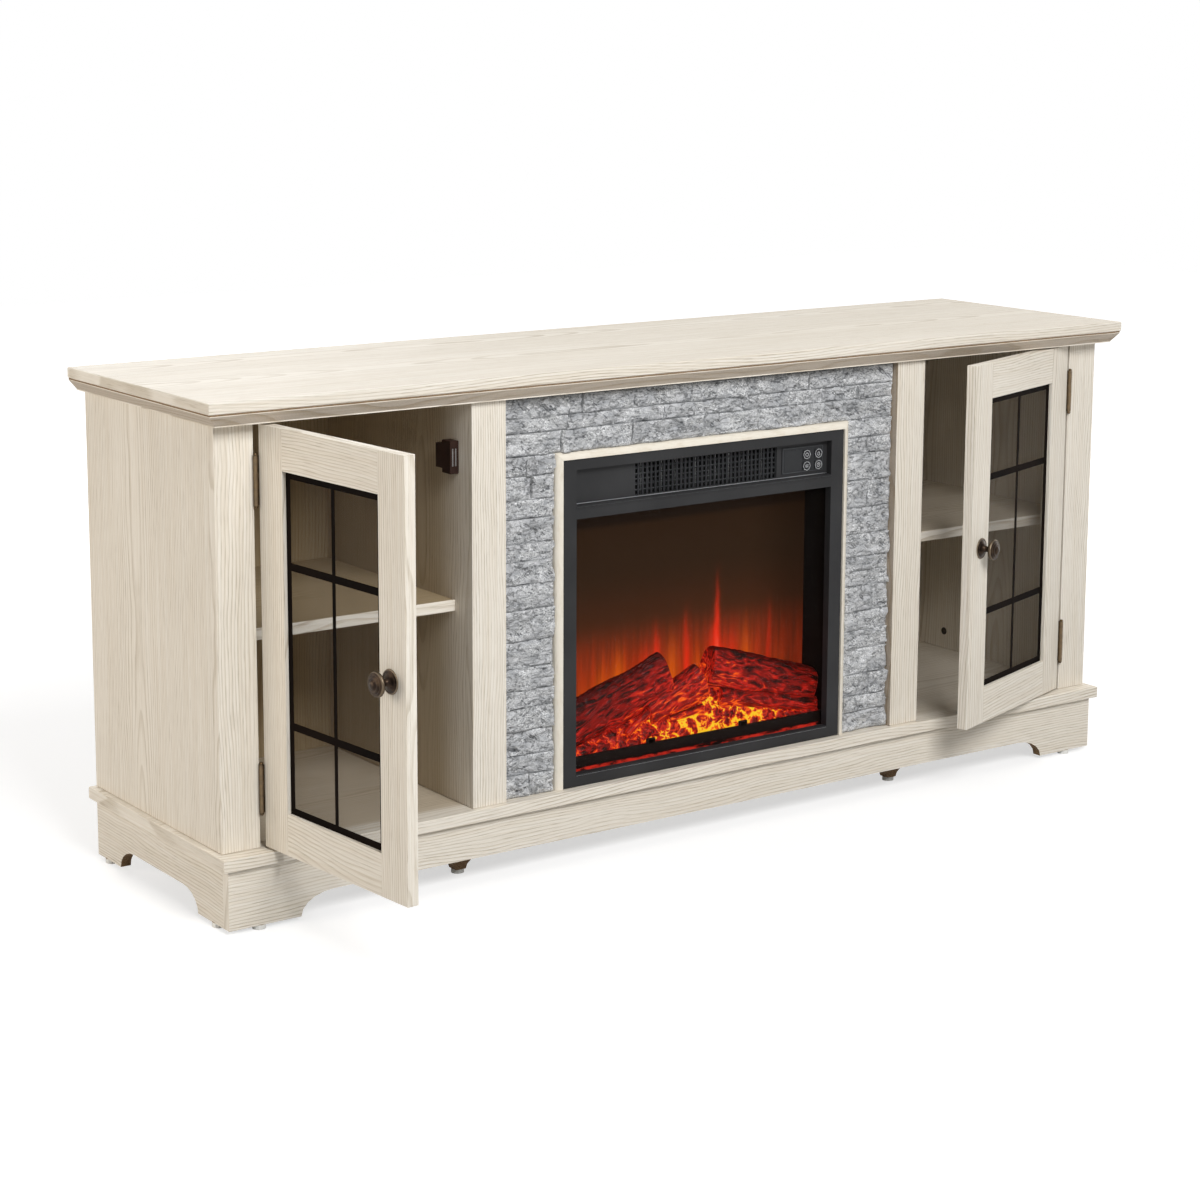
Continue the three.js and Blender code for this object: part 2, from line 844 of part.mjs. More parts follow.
// Control panel: a plate on the fascia with a boss through it, four button bores and a display
const plateFront = fasciaFront - seat - controlPlate;
const bossBack = plateFront + controlPlate + controlBoss;
const buttons = [
  { name: "power_button", x: 0, z: 1 },
  { name: "flame_button", x: 1, z: 1 },
  { name: "heater_button", x: 0, z: 0 },
  { name: "timer_button", x: 1, z: 0 },
].map(({ name, x, z }) => ({
  name,
  x: controlX + buttonsX + (x - 0.5) * buttonPitchX,
  z: controlZ - buttonsZ + (z - 0.5) * buttonPitchZ,
}));
const displaySpan = [controlSpan[0] + displayInset, controlSpan[0] + displayInset + displayWidth];
place(
  stand,
  "control_panel",
  blackPlastic,
  cut(
    joined(
      prism("y", roundedRectangle(controlSpan, controlRise, controlRadius), [
        plateFront,
        plateFront + controlPlate,
      ]),
      prism("y", rectangle(bossSpan, bossRise), [plateFront + controlPlate / 2, bossBack]),
    ),
    prism("y", rectangle(displaySpan, centred(controlZ, displayHeight)), [
      plateFront - overrun,
      plateFront + displayDepth,
    ]),
    ...buttons.map(({ x, z }) => {
      const bore = buttonSize + 2 * running;
      const shape = roundedRectangle(centred(x, bore), centred(z, bore), buttonRadius + running);
      return prism("y", shape, [plateFront - overrun, bossBack + overrun]);
    }),
  ),
);

// Push buttons, each held in by the flange behind its bore
const flangeFront = bossBack + running;
const stemEnd = flangeFront + flangeThick + stemLength;
for (const { name, x, z } of buttons) {
  place(
    stand,
    name,
    blackPlastic,
    joined(
      prism("y", roundedRectangle(centred(x, buttonSize), centred(z, buttonSize), buttonRadius), [
        plateFront - buttonProud,
        flangeFront + flangeThick / 2,
      ]),
      board(centred(x, buttonFlange), [flangeFront, flangeFront + flangeThick], centred(z, buttonFlange)),
      bar("y", [x, z], stemRadius, [flangeFront, stemEnd]),
    ),
  );
}

// Control board on four posts behind the fascia, a tact switch facing each button
const boardFront = stemEnd + switchGap + switchHeight;
const boardSpan = [controlX - boardInner, controlX + boardOuter];
const postPlaces = boardSpan.flatMap((x) =>
  fasciaSpan.map((z) => [
    x + Math.sign(controlX - x) * postInset,
    z + Math.sign(controlZ - z) * postInset,
  ]),
);
place(
  stand,
  "control_board",
  circuitGreen,
  joined(
    board(boardSpan, [boardFront, boardFront + boardThick], fasciaSpan),
    ...postPlaces.map((at) => bar("y", at, postRadius, [fasciaBack + seat, boardFront + boardThick / 2])),
    ...buttons.map(({ x, z }) =>
      board(centred(x, switchSize), [boardFront - switchHeight, boardFront + boardThick / 2], centred(z, switchSize)),
    ),
  ),
);

// Housing: a folded sheet box with a shelf between fire and heater, vents, gland and bush
const housingHalf = insertWidth / 2 - housingInset;
const housingTop = insertTop - housingDrop;
const housingFront = bezelBack + seat;
const housingInner = housingHalf - sheet;
const deckTop = fasciaSpan[0] - railHeight + overrun + seat + sheet;
const deckUnder = deckTop - sheet;
const inside = [housingFront - overrun, housingBack - sheet];
const ductMiddle = (deckTop + housingTop - sheet) / 2;
const vents = Array.from({ length: ventCount }, (_, i) => {
  const x = (i - (ventCount - 1) / 2) * ventPitch;
  return board(centred(x, ventWidth), grow([inside[1], housingBack], overrun), centred(ductMiddle, ventHeight));
});
const glandAt = [housingHalf - glandInset, insertUnder + glandRise];
const spindleAt = [spindleY, insertUnder + spindleRise];
const bushSpan = [-housingInner - sheet / 2, bushLength - housingInner];
place(
  stand,
  "insert_housing",
  greySteel,
  cut(
    joined(
      cut(
        board([-housingHalf, housingHalf], [housingFront, housingBack], [insertUnder, housingTop]),
        board(centred(0, 2 * housingInner), inside, [insertUnder + sheet, deckUnder]),
        board(centred(0, 2 * housingInner), inside, [deckTop, housingTop - sheet]),
        ...vents,
      ),
      bar("y", glandAt, glandRadius, [inside[1], housingBack + glandReach]),
      bar("x", spindleAt, bushRadius, bushSpan),
    ),
    bar("y", glandAt, glandBore, [inside[1] - overrun, housingBack + glandReach + overrun]),
    bar("x", spindleAt, shaftRadius + running, [spindleTail - housingInner - running, 0]),
  ),
);

// Heater duct: straight throat from the grille, scroll round the wheel, motor on its end
const ductLeft = grilleSpan[0] - ductSide;
const ductRight = grilleSpan[1] + ductSide;

function scroll(inset) {
  const radius = ductHalf - inset;
  const shape = new THREE.Shape();
  shape.moveTo(ductFront - (inset > 0 ? overrun : 0), ductMiddle - radius);
  for (let quarterTurn = 0; quarterTurn < 2; quarterTurn += 1) {
    const start = (quarterTurn - 1) * (Math.PI / 2);
    shape.absarc(wheelY, ductMiddle, radius, start, start + Math.PI / 2);
  }
  shape.lineTo(ductFront - (inset > 0 ? overrun : 0), ductMiddle + radius);
  return shape;
}
const ductFeet = [ductLeft + ductFootInset, ductRight - ductFootInset].map((x) =>
  board(centred(x, ductFoot), [wheelY - ductFoot, wheelY], [deckTop + seat, ductMiddle - ductHalf + sheet / 2]),
);
const motorSpan = [ductRight - sheet / 2, ductRight + motorLength];
const intakeRise = [ductMiddle, ductMiddle + ductHalf / 2];
place(
  stand,
  "heater_duct",
  greySteel,
  cut(
    joined(
      cut(
        prism("x", scroll(0), [ductLeft, ductRight]),
        prism("x", scroll(sheet), [ductLeft + sheet, ductRight - sheet]),
      ),
      ...ductFeet,
      bar("x", [wheelY, ductMiddle], motorRadius, motorSpan),
    ),
    bar("x", [wheelY, ductMiddle], shaftRadius + running, [ductLeft - overrun, ductRight + motorBoreDepth]),
    ...[-1, 0, 1].map((place) => {
      const middle = (ductLeft + ductRight) / 2 + place * 2 * intakeWidth;
      return board(centred(middle, intakeWidth), [wheelY + ductHalf / 2, wheelY + ductHalf + overrun], intakeRise);
    }),
  ),
);

// Heating element in the throat: fins between two rails
const elementSpan = grow([ductLeft, ductRight], -sheet - seat - finThick);
const elementRise = centred(ductMiddle, 2 * (ductHalf - sheet - seat));
const elementDepth = [ductFront + finSetback, ductFront + finSetback + finDepth];
const fins = Array.from({ length: finCount }, (_, i) => {
  const x = elementSpan[0] + finThick / 2 + (i * (elementSpan[1] - elementSpan[0] - finThick)) / (finCount - 1);
  return board(centred(x, finThick), elementDepth, grow(elementRise, -finRail / 2));
});
place(
  stand,
  "heating_element",
  finAluminium,
  joined(
    board(elementSpan, elementDepth, [elementRise[0], elementRise[0] + finRail]),
    board(elementSpan, elementDepth, [elementRise[1] - finRail, elementRise[1]]),
    ...fins,
  ),
);

// Cross-flow wheel: forward blades between end discs on a through shaft
const wheelSpan = grow([ductLeft, ductRight], -wheelEnd);
const wheelDiscs = [wheelSpan[0] + wheelDisc / 2, (wheelSpan[0] + wheelSpan[1]) / 2, wheelSpan[1] - wheelDisc / 2];
const blades = Array.from({ length: bladeCount }, (_, i) => {
  const blade = board(wheelSpan, [-bladeThick / 2, bladeThick / 2], [-bladeDepth / 2, bladeDepth / 2]);
  blade.rotateX(Math.PI / 6).translate(0, 0, wheelRadius - bladeDepth / 2);
  return blade.rotateX((i / bladeCount) * Math.PI * 2).translate(0, wheelY, ductMiddle);
});
place(
  stand,
  "blower_wheel",
  blackPlastic,
  joined(
    bar("x", [wheelY, ductMiddle], shaftRadius, [ductLeft - shaftTail, ductRight + motorBoreDepth - running]),
    ...wheelDiscs.map((x) => bar("x", [wheelY, ductMiddle], wheelRadius, centred(x, wheelDisc), knobSides)),
    ...blades,
  ),
);

// Flame screen across the housing
place(
  stand,
  "flame_screen",
  flameAcrylic,
  board(
    centred(0, 2 * (housingInner - seat)),
    [screenFront, screenFront + screenThick],
    [insertUnder + sheet + seat, deckUnder - seat],
  ),
);

// Fret bar in front of the embers, two clips on it and the light strip fixed to its back
const fretSpan = centred(0, 2 * (housingInner - seat));
const fretDepth = [fretFront, fretFront + fretThick];
const fretUnder = insertUnder + fretRise;
place(
  stand,
  "fret_bar",
  greySteel,
  joined(
    board(fretSpan, fretDepth, [fretUnder, fretUnder + fretHeight]),
    ...fretTabShares.map((share) =>
      board(
        centred(share * housingInner, fretTabWidth),
        fretDepth,
        [fretUnder + fretHeight / 2, fretUnder + fretHeight + fretTabRise],
      ),
    ),
    board(
      fretSpan,
      [fretDepth[1] - stripThick, fretDepth[1]],
      [fretUnder - stripHeight, fretUnder + fretHeight / 2],
    ),
  ),
);

// Ember bed, moulded in one piece with the logs that lie on it
const bedUnder = insertUnder + sheet + seat;
const bedTop = bedUnder + bedRise;
const bedMiddle = (bedFront + bedBack) / 2;

function emberBed() {
  const width = 2 * (housingInner - seat);
  const bed = mergeVertices(
    new THREE.BoxGeometry(width, bedBack - bedFront, bedRise, ...bedFacets)
      .deleteAttribute("normal")
      .deleteAttribute("uv"),
  );
  bed.translate(0, bedMiddle, (bedTop + bedUnder) / 2);
  const roll = dice(3);
  const position = bed.getAttribute("position");
  for (let i = 0; i < position.count; i += 1) {
    const rise = bedMound * Math.cos((position.getX(i) / width) * Math.PI) + bedRough * (roll() - 0.5);
    if (position.getZ(i) > bedUnder + bedRise / 2) position.setZ(i, position.getZ(i) + rise);
  }
  return bed;
}

function log({ thick, from, to, bark }) {
  const bedCentre = new THREE.Vector3(0, bedMiddle, bedTop);
  const start = new THREE.Vector3(...from).multiplyScalar(housingInner).add(bedCentre);
  const end = new THREE.Vector3(...to).multiplyScalar(housingInner).add(bedCentre);
  const along = end.clone().sub(start);
  const radius = thick * housingInner;
  const log = mergeVertices(
    new THREE.CylinderGeometry(radius, radius, along.length(), logSides, logRings)
      .deleteAttribute("normal")
      .deleteAttribute("uv"),
  );
  const roll = dice(bark);
  const position = log.getAttribute("position");
  for (let i = 0; i < position.count; i += 1) {
    const swell = 0.86 + 0.2 * roll();
    position.setXYZ(i, position.getX(i) * swell, position.getY(i), position.getZ(i) * swell);
  }
  log.applyQuaternion(new THREE.Quaternion().setFromUnitVectors(THREE.Object3D.DEFAULT_UP, along.normalize()));
  log.scale(1, logFlatShare, 1);
  const middle = start.add(end).divideScalar(2);
  return log.translate(middle.x, middle.y, middle.z);
}
place(stand, "log_set", emberResin, joined(emberBed(), ...logShares.map(log)));

// Flicker spindle: bright tabs turned about a rod, one end in the bush, one on the motor's stub
const motorFace = housingInner - seat - flickerMotorLength;
const stubEnd = motorFace - stubLength;
const spindleSpan = [spindleTail - housingInner, motorFace - running];
const tabSpan = [bushSpan[1] + tabWidth, stubEnd - tabWidth];
const tabs = Array.from({ length: tabCount }, (_, i) => {
  const tab = board(centred(0, tabWidth), centred(0, tabThick), [-tabReach, tabReach]);
  const x = tabSpan[0] + (i / (tabCount - 1)) * (tabSpan[1] - tabSpan[0]);
  return tab.rotateX(i * (Math.PI / 5)).translate(x, ...spindleAt);
});
place(
  stand,
  "flicker_spindle",
  finAluminium,
  cut(
    joined(bar("x", spindleAt, shaftRadius, spindleSpan), ...tabs),
    bar("x", spindleAt, stubRadius + running, [stubEnd - running, spindleSpan[1] + overrun]),
  ),
);
place(
  stand,
  "flicker_motor",
  greySteel,
  joined(
    bar("x", spindleAt, motorRadius, [motorFace, housingInner - seat]),
    bar("x", spindleAt, stubRadius, [stubEnd, motorFace + overrun]),
  ),
);

// Both ends of the cabinet, the left one mirrored from the right
for (const { name, sign, seed } of [
  { name: "left", sign: -1, seed: 7 },
  { name: "right", sign: 1, seed: 29 },
]) {
  const half = new THREE.Group();
  half.scale.x = sign;
  stand.add(half);
  const deep = bodyBack;
  place(
    half,
    `side_panel_${name}`,
    oak,
    board([panelInner, bodyHalf], [stileThick + seat, deep], bodyHeight, boardEase),
  );
  place(half, `outer_stile_${name}`, oak, board([stileInner, bodyHalf], [0, stileThick], bodyHeight, boardEase));
  place(half, `partition_${name}`, oak, board([partitionInner, bayHalf], [seat, deep], bodyHeight, boardEase));
  place(
    half,
    `inner_stile_${name}`,
    oak,
    board([innerStileEdge, bayHalf], [-innerStileThick, 0], bodyHeight, boardEase),
  );
  place(
    half,
    `shelf_${name}`,
    oak,
    board(
      [bayHalf + seat, panelInner - seat],
      [shelfSetback, deep - backPanelThick - seat],
      [shelfUnder, shelfUnder + shelfThick],
      boardEase,
    ),
  );
  place(half, `skirt_${name}`, oak, sideSkirt());
  place(half, `support_leg_${name}`, rawBoard, supportLeg());
  place(half, `back_panel_${name}`, hardboard, backPanel());
  place(half, `catch_${name}`, brownPlastic, magneticCatch());
  place(half, `stone_${name}`, stone, stoneColumn(seed));
  place(half, `trim_${name}`, beadCream, sideBead());
  place(half, `lower_hinge_leaf_${name}`, bronze, fixedLeaf(lowerHinge));
  place(half, `upper_hinge_leaf_${name}`, bronze, fixedLeaf(upperHinge));

  // The door and what it carries, swung about its hinge axis
  const swing = new THREE.Group();
  swing.position.set(axisX, axisY, 0);
  swing.rotation.z = doorsOpen[name];
  half.add(swing);
  const door = new THREE.Group();
  door.position.set(-axisX, -axisY, 0);
  swing.add(door);
  place(door, `door_frame_${name}`, oak, doorFrame());
  place(door, `door_glass_${name}`, smokedGlass, doorGlass());
  place(door, `knob_${name}`, bronze, knob());
  place(door, `lower_door_leaf_${name}`, bronze, doorLeaf(lowerHinge));
  place(door, `upper_door_leaf_${name}`, bronze, doorLeaf(upperHinge));
}

// The stand on its floor, centred in the box that it fills with its doors open
const box = new THREE.Box3().setFromObject(stand, true);
const boxMiddle = box.getCenter(new THREE.Vector3());
stand.position.set(-boxMiddle.x, -boxMiddle.y, -box.min.z);

const part = new THREE.Group();
part.add(stand);

export default part;
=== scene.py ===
import json
import math
import random

import bmesh
import bpy
from mathutils import Matrix, Vector, noise

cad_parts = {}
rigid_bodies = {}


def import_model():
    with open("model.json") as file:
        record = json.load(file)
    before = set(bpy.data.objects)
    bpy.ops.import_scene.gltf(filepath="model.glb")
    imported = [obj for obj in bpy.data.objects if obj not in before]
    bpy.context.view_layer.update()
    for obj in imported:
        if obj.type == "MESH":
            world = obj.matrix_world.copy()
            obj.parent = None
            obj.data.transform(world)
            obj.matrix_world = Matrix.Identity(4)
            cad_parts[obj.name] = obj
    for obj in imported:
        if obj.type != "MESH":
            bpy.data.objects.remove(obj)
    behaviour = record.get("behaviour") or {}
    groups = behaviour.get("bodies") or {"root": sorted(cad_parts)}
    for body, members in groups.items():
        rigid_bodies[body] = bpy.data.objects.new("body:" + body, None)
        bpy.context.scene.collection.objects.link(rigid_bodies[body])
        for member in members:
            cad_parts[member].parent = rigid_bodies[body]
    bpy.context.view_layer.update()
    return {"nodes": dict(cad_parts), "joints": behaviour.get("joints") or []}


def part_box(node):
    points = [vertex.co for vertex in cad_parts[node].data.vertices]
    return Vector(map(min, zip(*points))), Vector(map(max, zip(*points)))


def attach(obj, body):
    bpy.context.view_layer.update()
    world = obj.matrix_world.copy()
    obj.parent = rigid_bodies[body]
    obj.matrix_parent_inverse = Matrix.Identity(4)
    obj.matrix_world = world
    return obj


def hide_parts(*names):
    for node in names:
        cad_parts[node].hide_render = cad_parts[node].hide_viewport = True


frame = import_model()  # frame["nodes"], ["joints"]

nodes = frame["nodes"]

# The set. A camera stands where the stand was photographed from, a pale floor keeps its
# shadow, and large soft lamps above, before and beside it light it evenly.


def put(name, data):
    """Puts a camera, a lamp or a mesh into the scene."""
    thing = bpy.data.objects.new(name, data)
    bpy.context.scene.collection.objects.link(thing)
    return thing


camera_data = bpy.data.cameras.new("camera")
camera_data.lens = 79.74
camera_data.sensor_width = 36
camera_data.shift_y = -0.1
camera_data.clip_end = 60
camera = put("camera", camera_data)
heading = Matrix.Rotation(math.radians(-35.456), 3, "Z")
dip = Matrix.Rotation(math.radians(90 - 10.019), 3, "X")
tilt = Matrix.Rotation(math.radians(0.243), 3, "Z")
camera.location = (-2.2866, -2.986, 1.1766)
camera.rotation_euler = (heading @ dip @ tilt).to_euler()
bpy.context.scene.camera = camera
bpy.context.scene.view_settings.view_transform = "Standard"


def soft_lamp(name, place, aim, size, power, colour=(1, 1, 1)):
    """A square lamp at a place, turned to face a point."""
    lamp = bpy.data.lights.new(name, "AREA")
    lamp.size = size
    lamp.energy = power
    lamp.color = colour
    stand = put(name, lamp)
    stand.location = place
    stand.rotation_euler = (Vector(aim) - Vector(place)).to_track_quat("-Z", "Y").to_euler()


soft_lamp("lamp_front", (-0.7, -3.2, 2.9), (0, 0, 0.35), 1.7, 140)
soft_lamp("lamp_over", (0.2, 0.4, 3.8), (0, 0, 0.6), 2.4, 8, (0.96, 0.98, 1))
soft_lamp("lamp_left", (-3.7, 1.0, 1.2), (-0.7, 0.2, 0.35), 2.0, 50, (1, 0.91, 0.80))
soft_lamp("lamp_right", (3.7, 1.0, 1.2), (0.7, 0.2, 0.35), 2.0, 44, (1, 0.95, 0.87))
soft_lamp("lamp_back", (0.4, 3.6, 2.2), (0, 0, 0.35), 2.4, 44)


class Wire:
    """A socket of a finish. Sums of wires and numbers add Math nodes; node() adds any other."""

    def __init__(self, tree, socket=None):
        self.tree = tree
        self.socket = socket

    def node(self, kind, settings=None, inputs=None, output=0):
        made = self.tree.nodes.new(kind)
        for name, value in (settings or {}).items():
            setattr(made, name, value)
        for name, value in (inputs or {}).items():
            if isinstance(value, Wire):
                self.tree.links.new(value.socket, made.inputs[name])
            else:
                made.inputs[name].default_value = value
        return Wire(self.tree, made.outputs[output] if made.outputs else None)

    def maths(self, operation, *terms):
        return self.node("ShaderNodeMath", {"operation": operation}, dict(enumerate(terms)))

    def __add__(self, other):
        return self.maths("ADD", self, other)

    def __sub__(self, other):
        return self.maths("SUBTRACT", self, other)

    def __mul__(self, other):
        return self.maths("MULTIPLY", self, other)

    def __truediv__(self, other):
        return self.maths("DIVIDE", self, other)

    def __pow__(self, other):
        return self.maths("POWER", self, other)

    def __rsub__(self, other):
        return self.maths("SUBTRACT", other, self)

    def __rtruediv__(self, other):
        return self.maths("DIVIDE", other, self)

    def __abs__(self):
        return self.maths("ABSOLUTE", self)

    __radd__ = __add__
    __rmul__ = __mul__

    def most(self, other):
        """The larger of two masks."""
        return self.maths("MAXIMUM", self, other)

    def step(self, low, high):
        """0 below low, 1 above high, and a soft step between; the other way round if low > high."""
        ends = {"Value": self, "From Min": low, "From Max": high}
        return self.node("ShaderNodeMapRange", {"interpolation_type": "SMOOTHSTEP"}, ends)

    def tint(self, under, over):
        """The colour under, covered by the colour over as far as this mask says."""
        return self.node("ShaderNodeMix", {"data_type": "RGBA"}, {0: self, 6: under, 7: over}, 2)

    def place(self):
        """The place of a point of the surface."""
        return self.node("ShaderNodeTexCoord", None, None, "Object")

    def facing(self):
        """Which way the surface faces there."""
        return self.node("ShaderNodeTexCoord", None, None, "Normal")

    def joined(self, x, y, z):
        """A vector of three parts."""
        return self.node("ShaderNodeCombineXYZ", None, {0: x, 1: y, 2: z})

    def parts(self):
        """The three parts of a vector."""
        node = self.node("ShaderNodeSeparateXYZ", None, {0: self}).socket.node
        return [Wire(self.tree, output) for output in node.outputs]

    def vector(self, operation, *terms, output=0):
        """This vector and others, put together part by part."""
        inputs = dict(enumerate((self, *terms)))
        return self.node("ShaderNodeVectorMath", {"operation": operation}, inputs, output)

    def stretch(self, along_x, along_y, along_z):
        return self.vector("MULTIPLY", (along_x, along_y, along_z))

    def grains(self, detail=2.0, roughness=0.5, output=0):
        """Noise from 0 to 1 over a vector whose length of one is one grain."""
        inputs = {"Vector": self, "Scale": 1.0, "Detail": detail, "Roughness": roughness}
        return self.node("ShaderNodeTexNoise", None, inputs, output)


def open_finish(name):
    """An empty material, as a wire that starts its nodes."""
    material = bpy.data.materials.new(name)
    material.use_nodes = True
    material.node_tree.nodes.clear()
    start = Wire(material.node_tree)
    start.material = material
    return start


def close_finish(start, inputs, relief=None, depth=0.0004):
    """Joins the wires to the shader, with a bump if there is relief, and gives the material."""
    if relief is not None:
        bump = {"Height": relief, "Distance": depth, "Strength": 1.0}
        inputs = {**inputs, "Normal": start.node("ShaderNodeBump", None, bump)}
    shader = start.node("ShaderNodeBsdfPrincipled", None, inputs)
    start.node("ShaderNodeOutputMaterial", None, {"Surface": shader})
    return start.material


def paint(red, green, blue):
    """A colour as a painter's card gives it, from 0 to 255, in the values that a shader takes."""
    return tuple(((c / 255 + 0.055) / 1.055) ** 2.4 for c in (red, green, blue)) + (1.0,)


def seen_rays(start):
    """1 for what the camera sees, by itself or in metal and glass, and 0 for the light that falls."""
    path = start.node("ShaderNodeLightPath")
    names = ("Is Camera Ray", "Is Glossy Ray", "Is Transmission Ray")
    camera_ray, glossy, through = (Wire(start.tree, path.socket.node.outputs[name]) for name in names)
    return camera_ray.most(glossy.most(through))


paper = open_finish("pale paper")
paper_far = paper.place().vector("LENGTH", output=1).step(1.3, 2.6)
paper_glow = paper_far.tint((0.60, 0.60, 0.60, 1), (1.0, 1.0, 1.0, 1))
paper_glow = seen_rays(paper).tint((0, 0, 0, 1), paper_glow)
paper = close_finish(paper, {
    "Base Color": (0.52, 0.52, 0.52, 1), "Roughness": 1.0, "Specular IOR Level": 0.0,
    "Emission Color": paper_glow, "Emission Strength": 1.0,
})
sheet = bmesh.new()
bmesh.ops.create_grid(sheet, x_segments=1, y_segments=1, size=7)
floor = put("floor", bpy.data.meshes.new("floor"))
sheet.to_mesh(floor.data)
sheet.free()
floor.data.materials.append(paper)

world = bpy.data.worlds.new("room")
world.use_nodes = True
world.node_tree.nodes.clear()
room = Wire(world.node_tree)
room_colour = seen_rays(room).tint((0.25, 0.25, 0.25, 1), (1, 1, 1, 1))
room_light = room.node("ShaderNodeBackground", None, {"Color": room_colour, "Strength": 1.0})
room.node("ShaderNodeOutputWorld", None, {"Surface": room_light})
bpy.context.scene.world = world

# The boards of the case: particle board faced with a whitewashed oak print that is pressed
# in register with its grain. Top, cornice, base and shelves run along the width; panels,
# partitions and stiles run upwards. They are dowelled and drawn together with cam bolts.
oak_pale = paint(236, 230, 219)
oak_warm = paint(226, 217, 202)
oak_line = paint(186, 172, 149)
oak_pore = paint(168, 152, 128)
oak_shade = (0.40, 0.30, 0.15)
fibre_light = paint(150, 122, 88)
fibre_dark = paint(104, 78, 50)
leaf_width = 0.21
ring_gap = 0.0042
bay_near, bay_far = 0.4025, 0.7630
bay_foot, bay_head = 0.1042, 0.6650
bay_mouth = -0.0300
bay_back = 0.3400
bay_soft = 0.0006
wide_heart = 0.12
cornice_top = 0.6803


def from_middle(vector, centre, turn=0.0):
    """A vector from a piece's own middle, turned back if the piece stands turned."""
    inputs = {"Vector": vector, "Location": tuple(centre), "Rotation": (0.0, 0.0, turn)}
    return vector.node("ShaderNodeMapping", {"vector_type": "TEXTURE"}, inputs)


def measured(start, centre, turn=0.0):
    """The place of a point, from the middle of its piece."""
    return from_middle(start.place(), centre, turn)


def coats(colour, *layers):
    """A colour with coats laid over it one by one, each through its own mask."""
    for mask, over in layers:
        colour = mask.tint(colour, over)
    return colour


def raw_fibre(vector):
    """The brown of a board's core where nothing covers it."""
    chips = vector.stretch(600, 600, 600).grains(4.0, 0.7).step(0.35, 0.7)
    return chips.tint(fibre_dark, fibre_light)


def painted_bay_shade(start):
    """Painted shade on faces that look into a bay: how far the print is darkened there, most of all on floor
    and shelf.
    """
    x, y, z = start.place().parts()
    aside = abs(x)
    facing = start.facing().parts()
    front = facing[1].step(-0.6, -0.3)
    flat = facing[2].step(0.4, 0.6)
    left = x.step(0.1, -0.1)
    inward = y.step(bay_mouth, 0.0500).most(flat * y.step(bay_mouth, -0.0100))
    mask = aside.step(bay_near, bay_near + bay_soft) * aside.step(bay_far, bay_far - bay_soft) * inward
    # More painted shade in the left bay than the right, and on the inside of the left bay's back panel.
    share = front * (0.22 + 0.17 * flat + left * (0.44 + 0.17 * flat * z.step(0.20, 0.19)))
    share = share + (1 - front) * left * y.step(bay_back, bay_back + 0.0010) * 0.85
    return mask * z.step(bay_foot, bay_foot + bay_soft) * z.step(bay_head, bay_head - bay_soft) * share


def oak(name, centre, along, face, turn=0.0, bare_and_shade=None, heart=0.0):
    """Oak print on one board: the grain's axis, the axis through the board, and a mask of bare core, which on
    the cornice is painted shade.
    """
    start = open_finish(name)
    vector = measured(start, centre, turn)
    luck = (centre[0] * 7.31 + centre[1] * 3.17 + centre[2] * 5.73) % 1.0
    place = vector.parts()
    facing = from_middle(start.facing(), (0, 0, 0), turn).parts()
    end = abs(facing[along]).step(0.5, 0.6)
    side = 1 - end
    run = place[along] * side + place[3 - along - face] * end
    wide = place[3 - along - face] * side + place[face] * end
    thick = place[face] * side + place[along] * end
    leaf = wide / leaf_width + (0.5 + luck * 0.2)
    number = leaf.maths("FLOOR", leaf) + luck * 9
    chance = start.node("ShaderNodeTexWhiteNoise", {"noise_dimensions": "1D"}, {"W": number}, "Color")
    chance = chance.node("ShaderNodeSeparateColor", None, {0: chance})
    in_leaf = (leaf.maths("FRACT", leaf) - 0.5) * leaf_width
    grain = start.joined(run + chance * 3.0 + luck * 5.0, wide, thick)
    wander = grain.stretch(2.2, 9.0, 9.0).grains(3.0, 0.55)
    dive = grain.stretch(1.1, 0.0, 0.0).grains(1.0)
    off_heart = in_leaf + heart + (wander - 0.5) * 0.03 + (chance - 0.5) * 0.09
    depth = thick + 0.045 + (dive - 0.5) * 0.09
    radius = start.maths("SQRT", off_heart * off_heart + depth * depth)
    years = radius / ring_gap + wander * 2.5
    year = years.maths("FRACT", years)
    line = year.step(0.45, 0.9) * year.step(1.0, 0.93)
    fade = grain.stretch(3.0, 18.0, 18.0).grains(2.0).step(0.25, 0.75)
    line = line * (0.35 + 0.65 * fade)
    streak = grain.stretch(4.0, 330.0, 330.0).grains(4.0, 0.65)
    pore = grain.stretch(34.0, 900.0, 900.0).grains(1.0).step(0.54, 0.68) * (0.3 + 0.7 * line)
    print_coats = (streak.step(0.3, 0.72), oak_warm), (line * 0.62, oak_line), (pore * 0.45, oak_pore)
    colour = coats(oak_pale, *print_coats)
    if not turn:
        # Painted shade darkens the print inside the bays; the doors, which stand turned, get none.
        colour = painted_bay_shade(start).tint(colour, colour.vector("MULTIPLY", oak_shade))
    rough = 0.5 + 0.14 * streak
    if bare_and_shade:
        # On the cornice this mask is painted shade, tinted toward the brown of the core.
        mask = bare_and_shade(start.facing().parts(), start.place().parts())
        colour = mask.tint(colour, raw_fibre(vector))
        rough = rough + mask * 0.25
    relief = streak * 0.3 - line * 0.3 - pore * 0.7
    return close_finish(start, {"Base Color": colour, "Roughness": rough, "Specular IOR Level": 0.35}, relief)


def dress(material, *names):
    for name in names:
        nodes[name].material_slots[0].material = material


def board_finish(name, along, face, bare_and_shade=None, heart=0.0):
    low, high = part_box(name)
    dress(oak(f"oak {name}", (low + high) / 2, along, face, 0.0, bare_and_shade, heart), name)


def brown_flank(turned, place):
    """The sides of the inner stiles that look at the firebox are tinted partly to the brown of the core."""
    inward = turned[0] * place[0].maths("SIGN", place[0])
    return inward.step(-0.4, -0.6) * 0.6


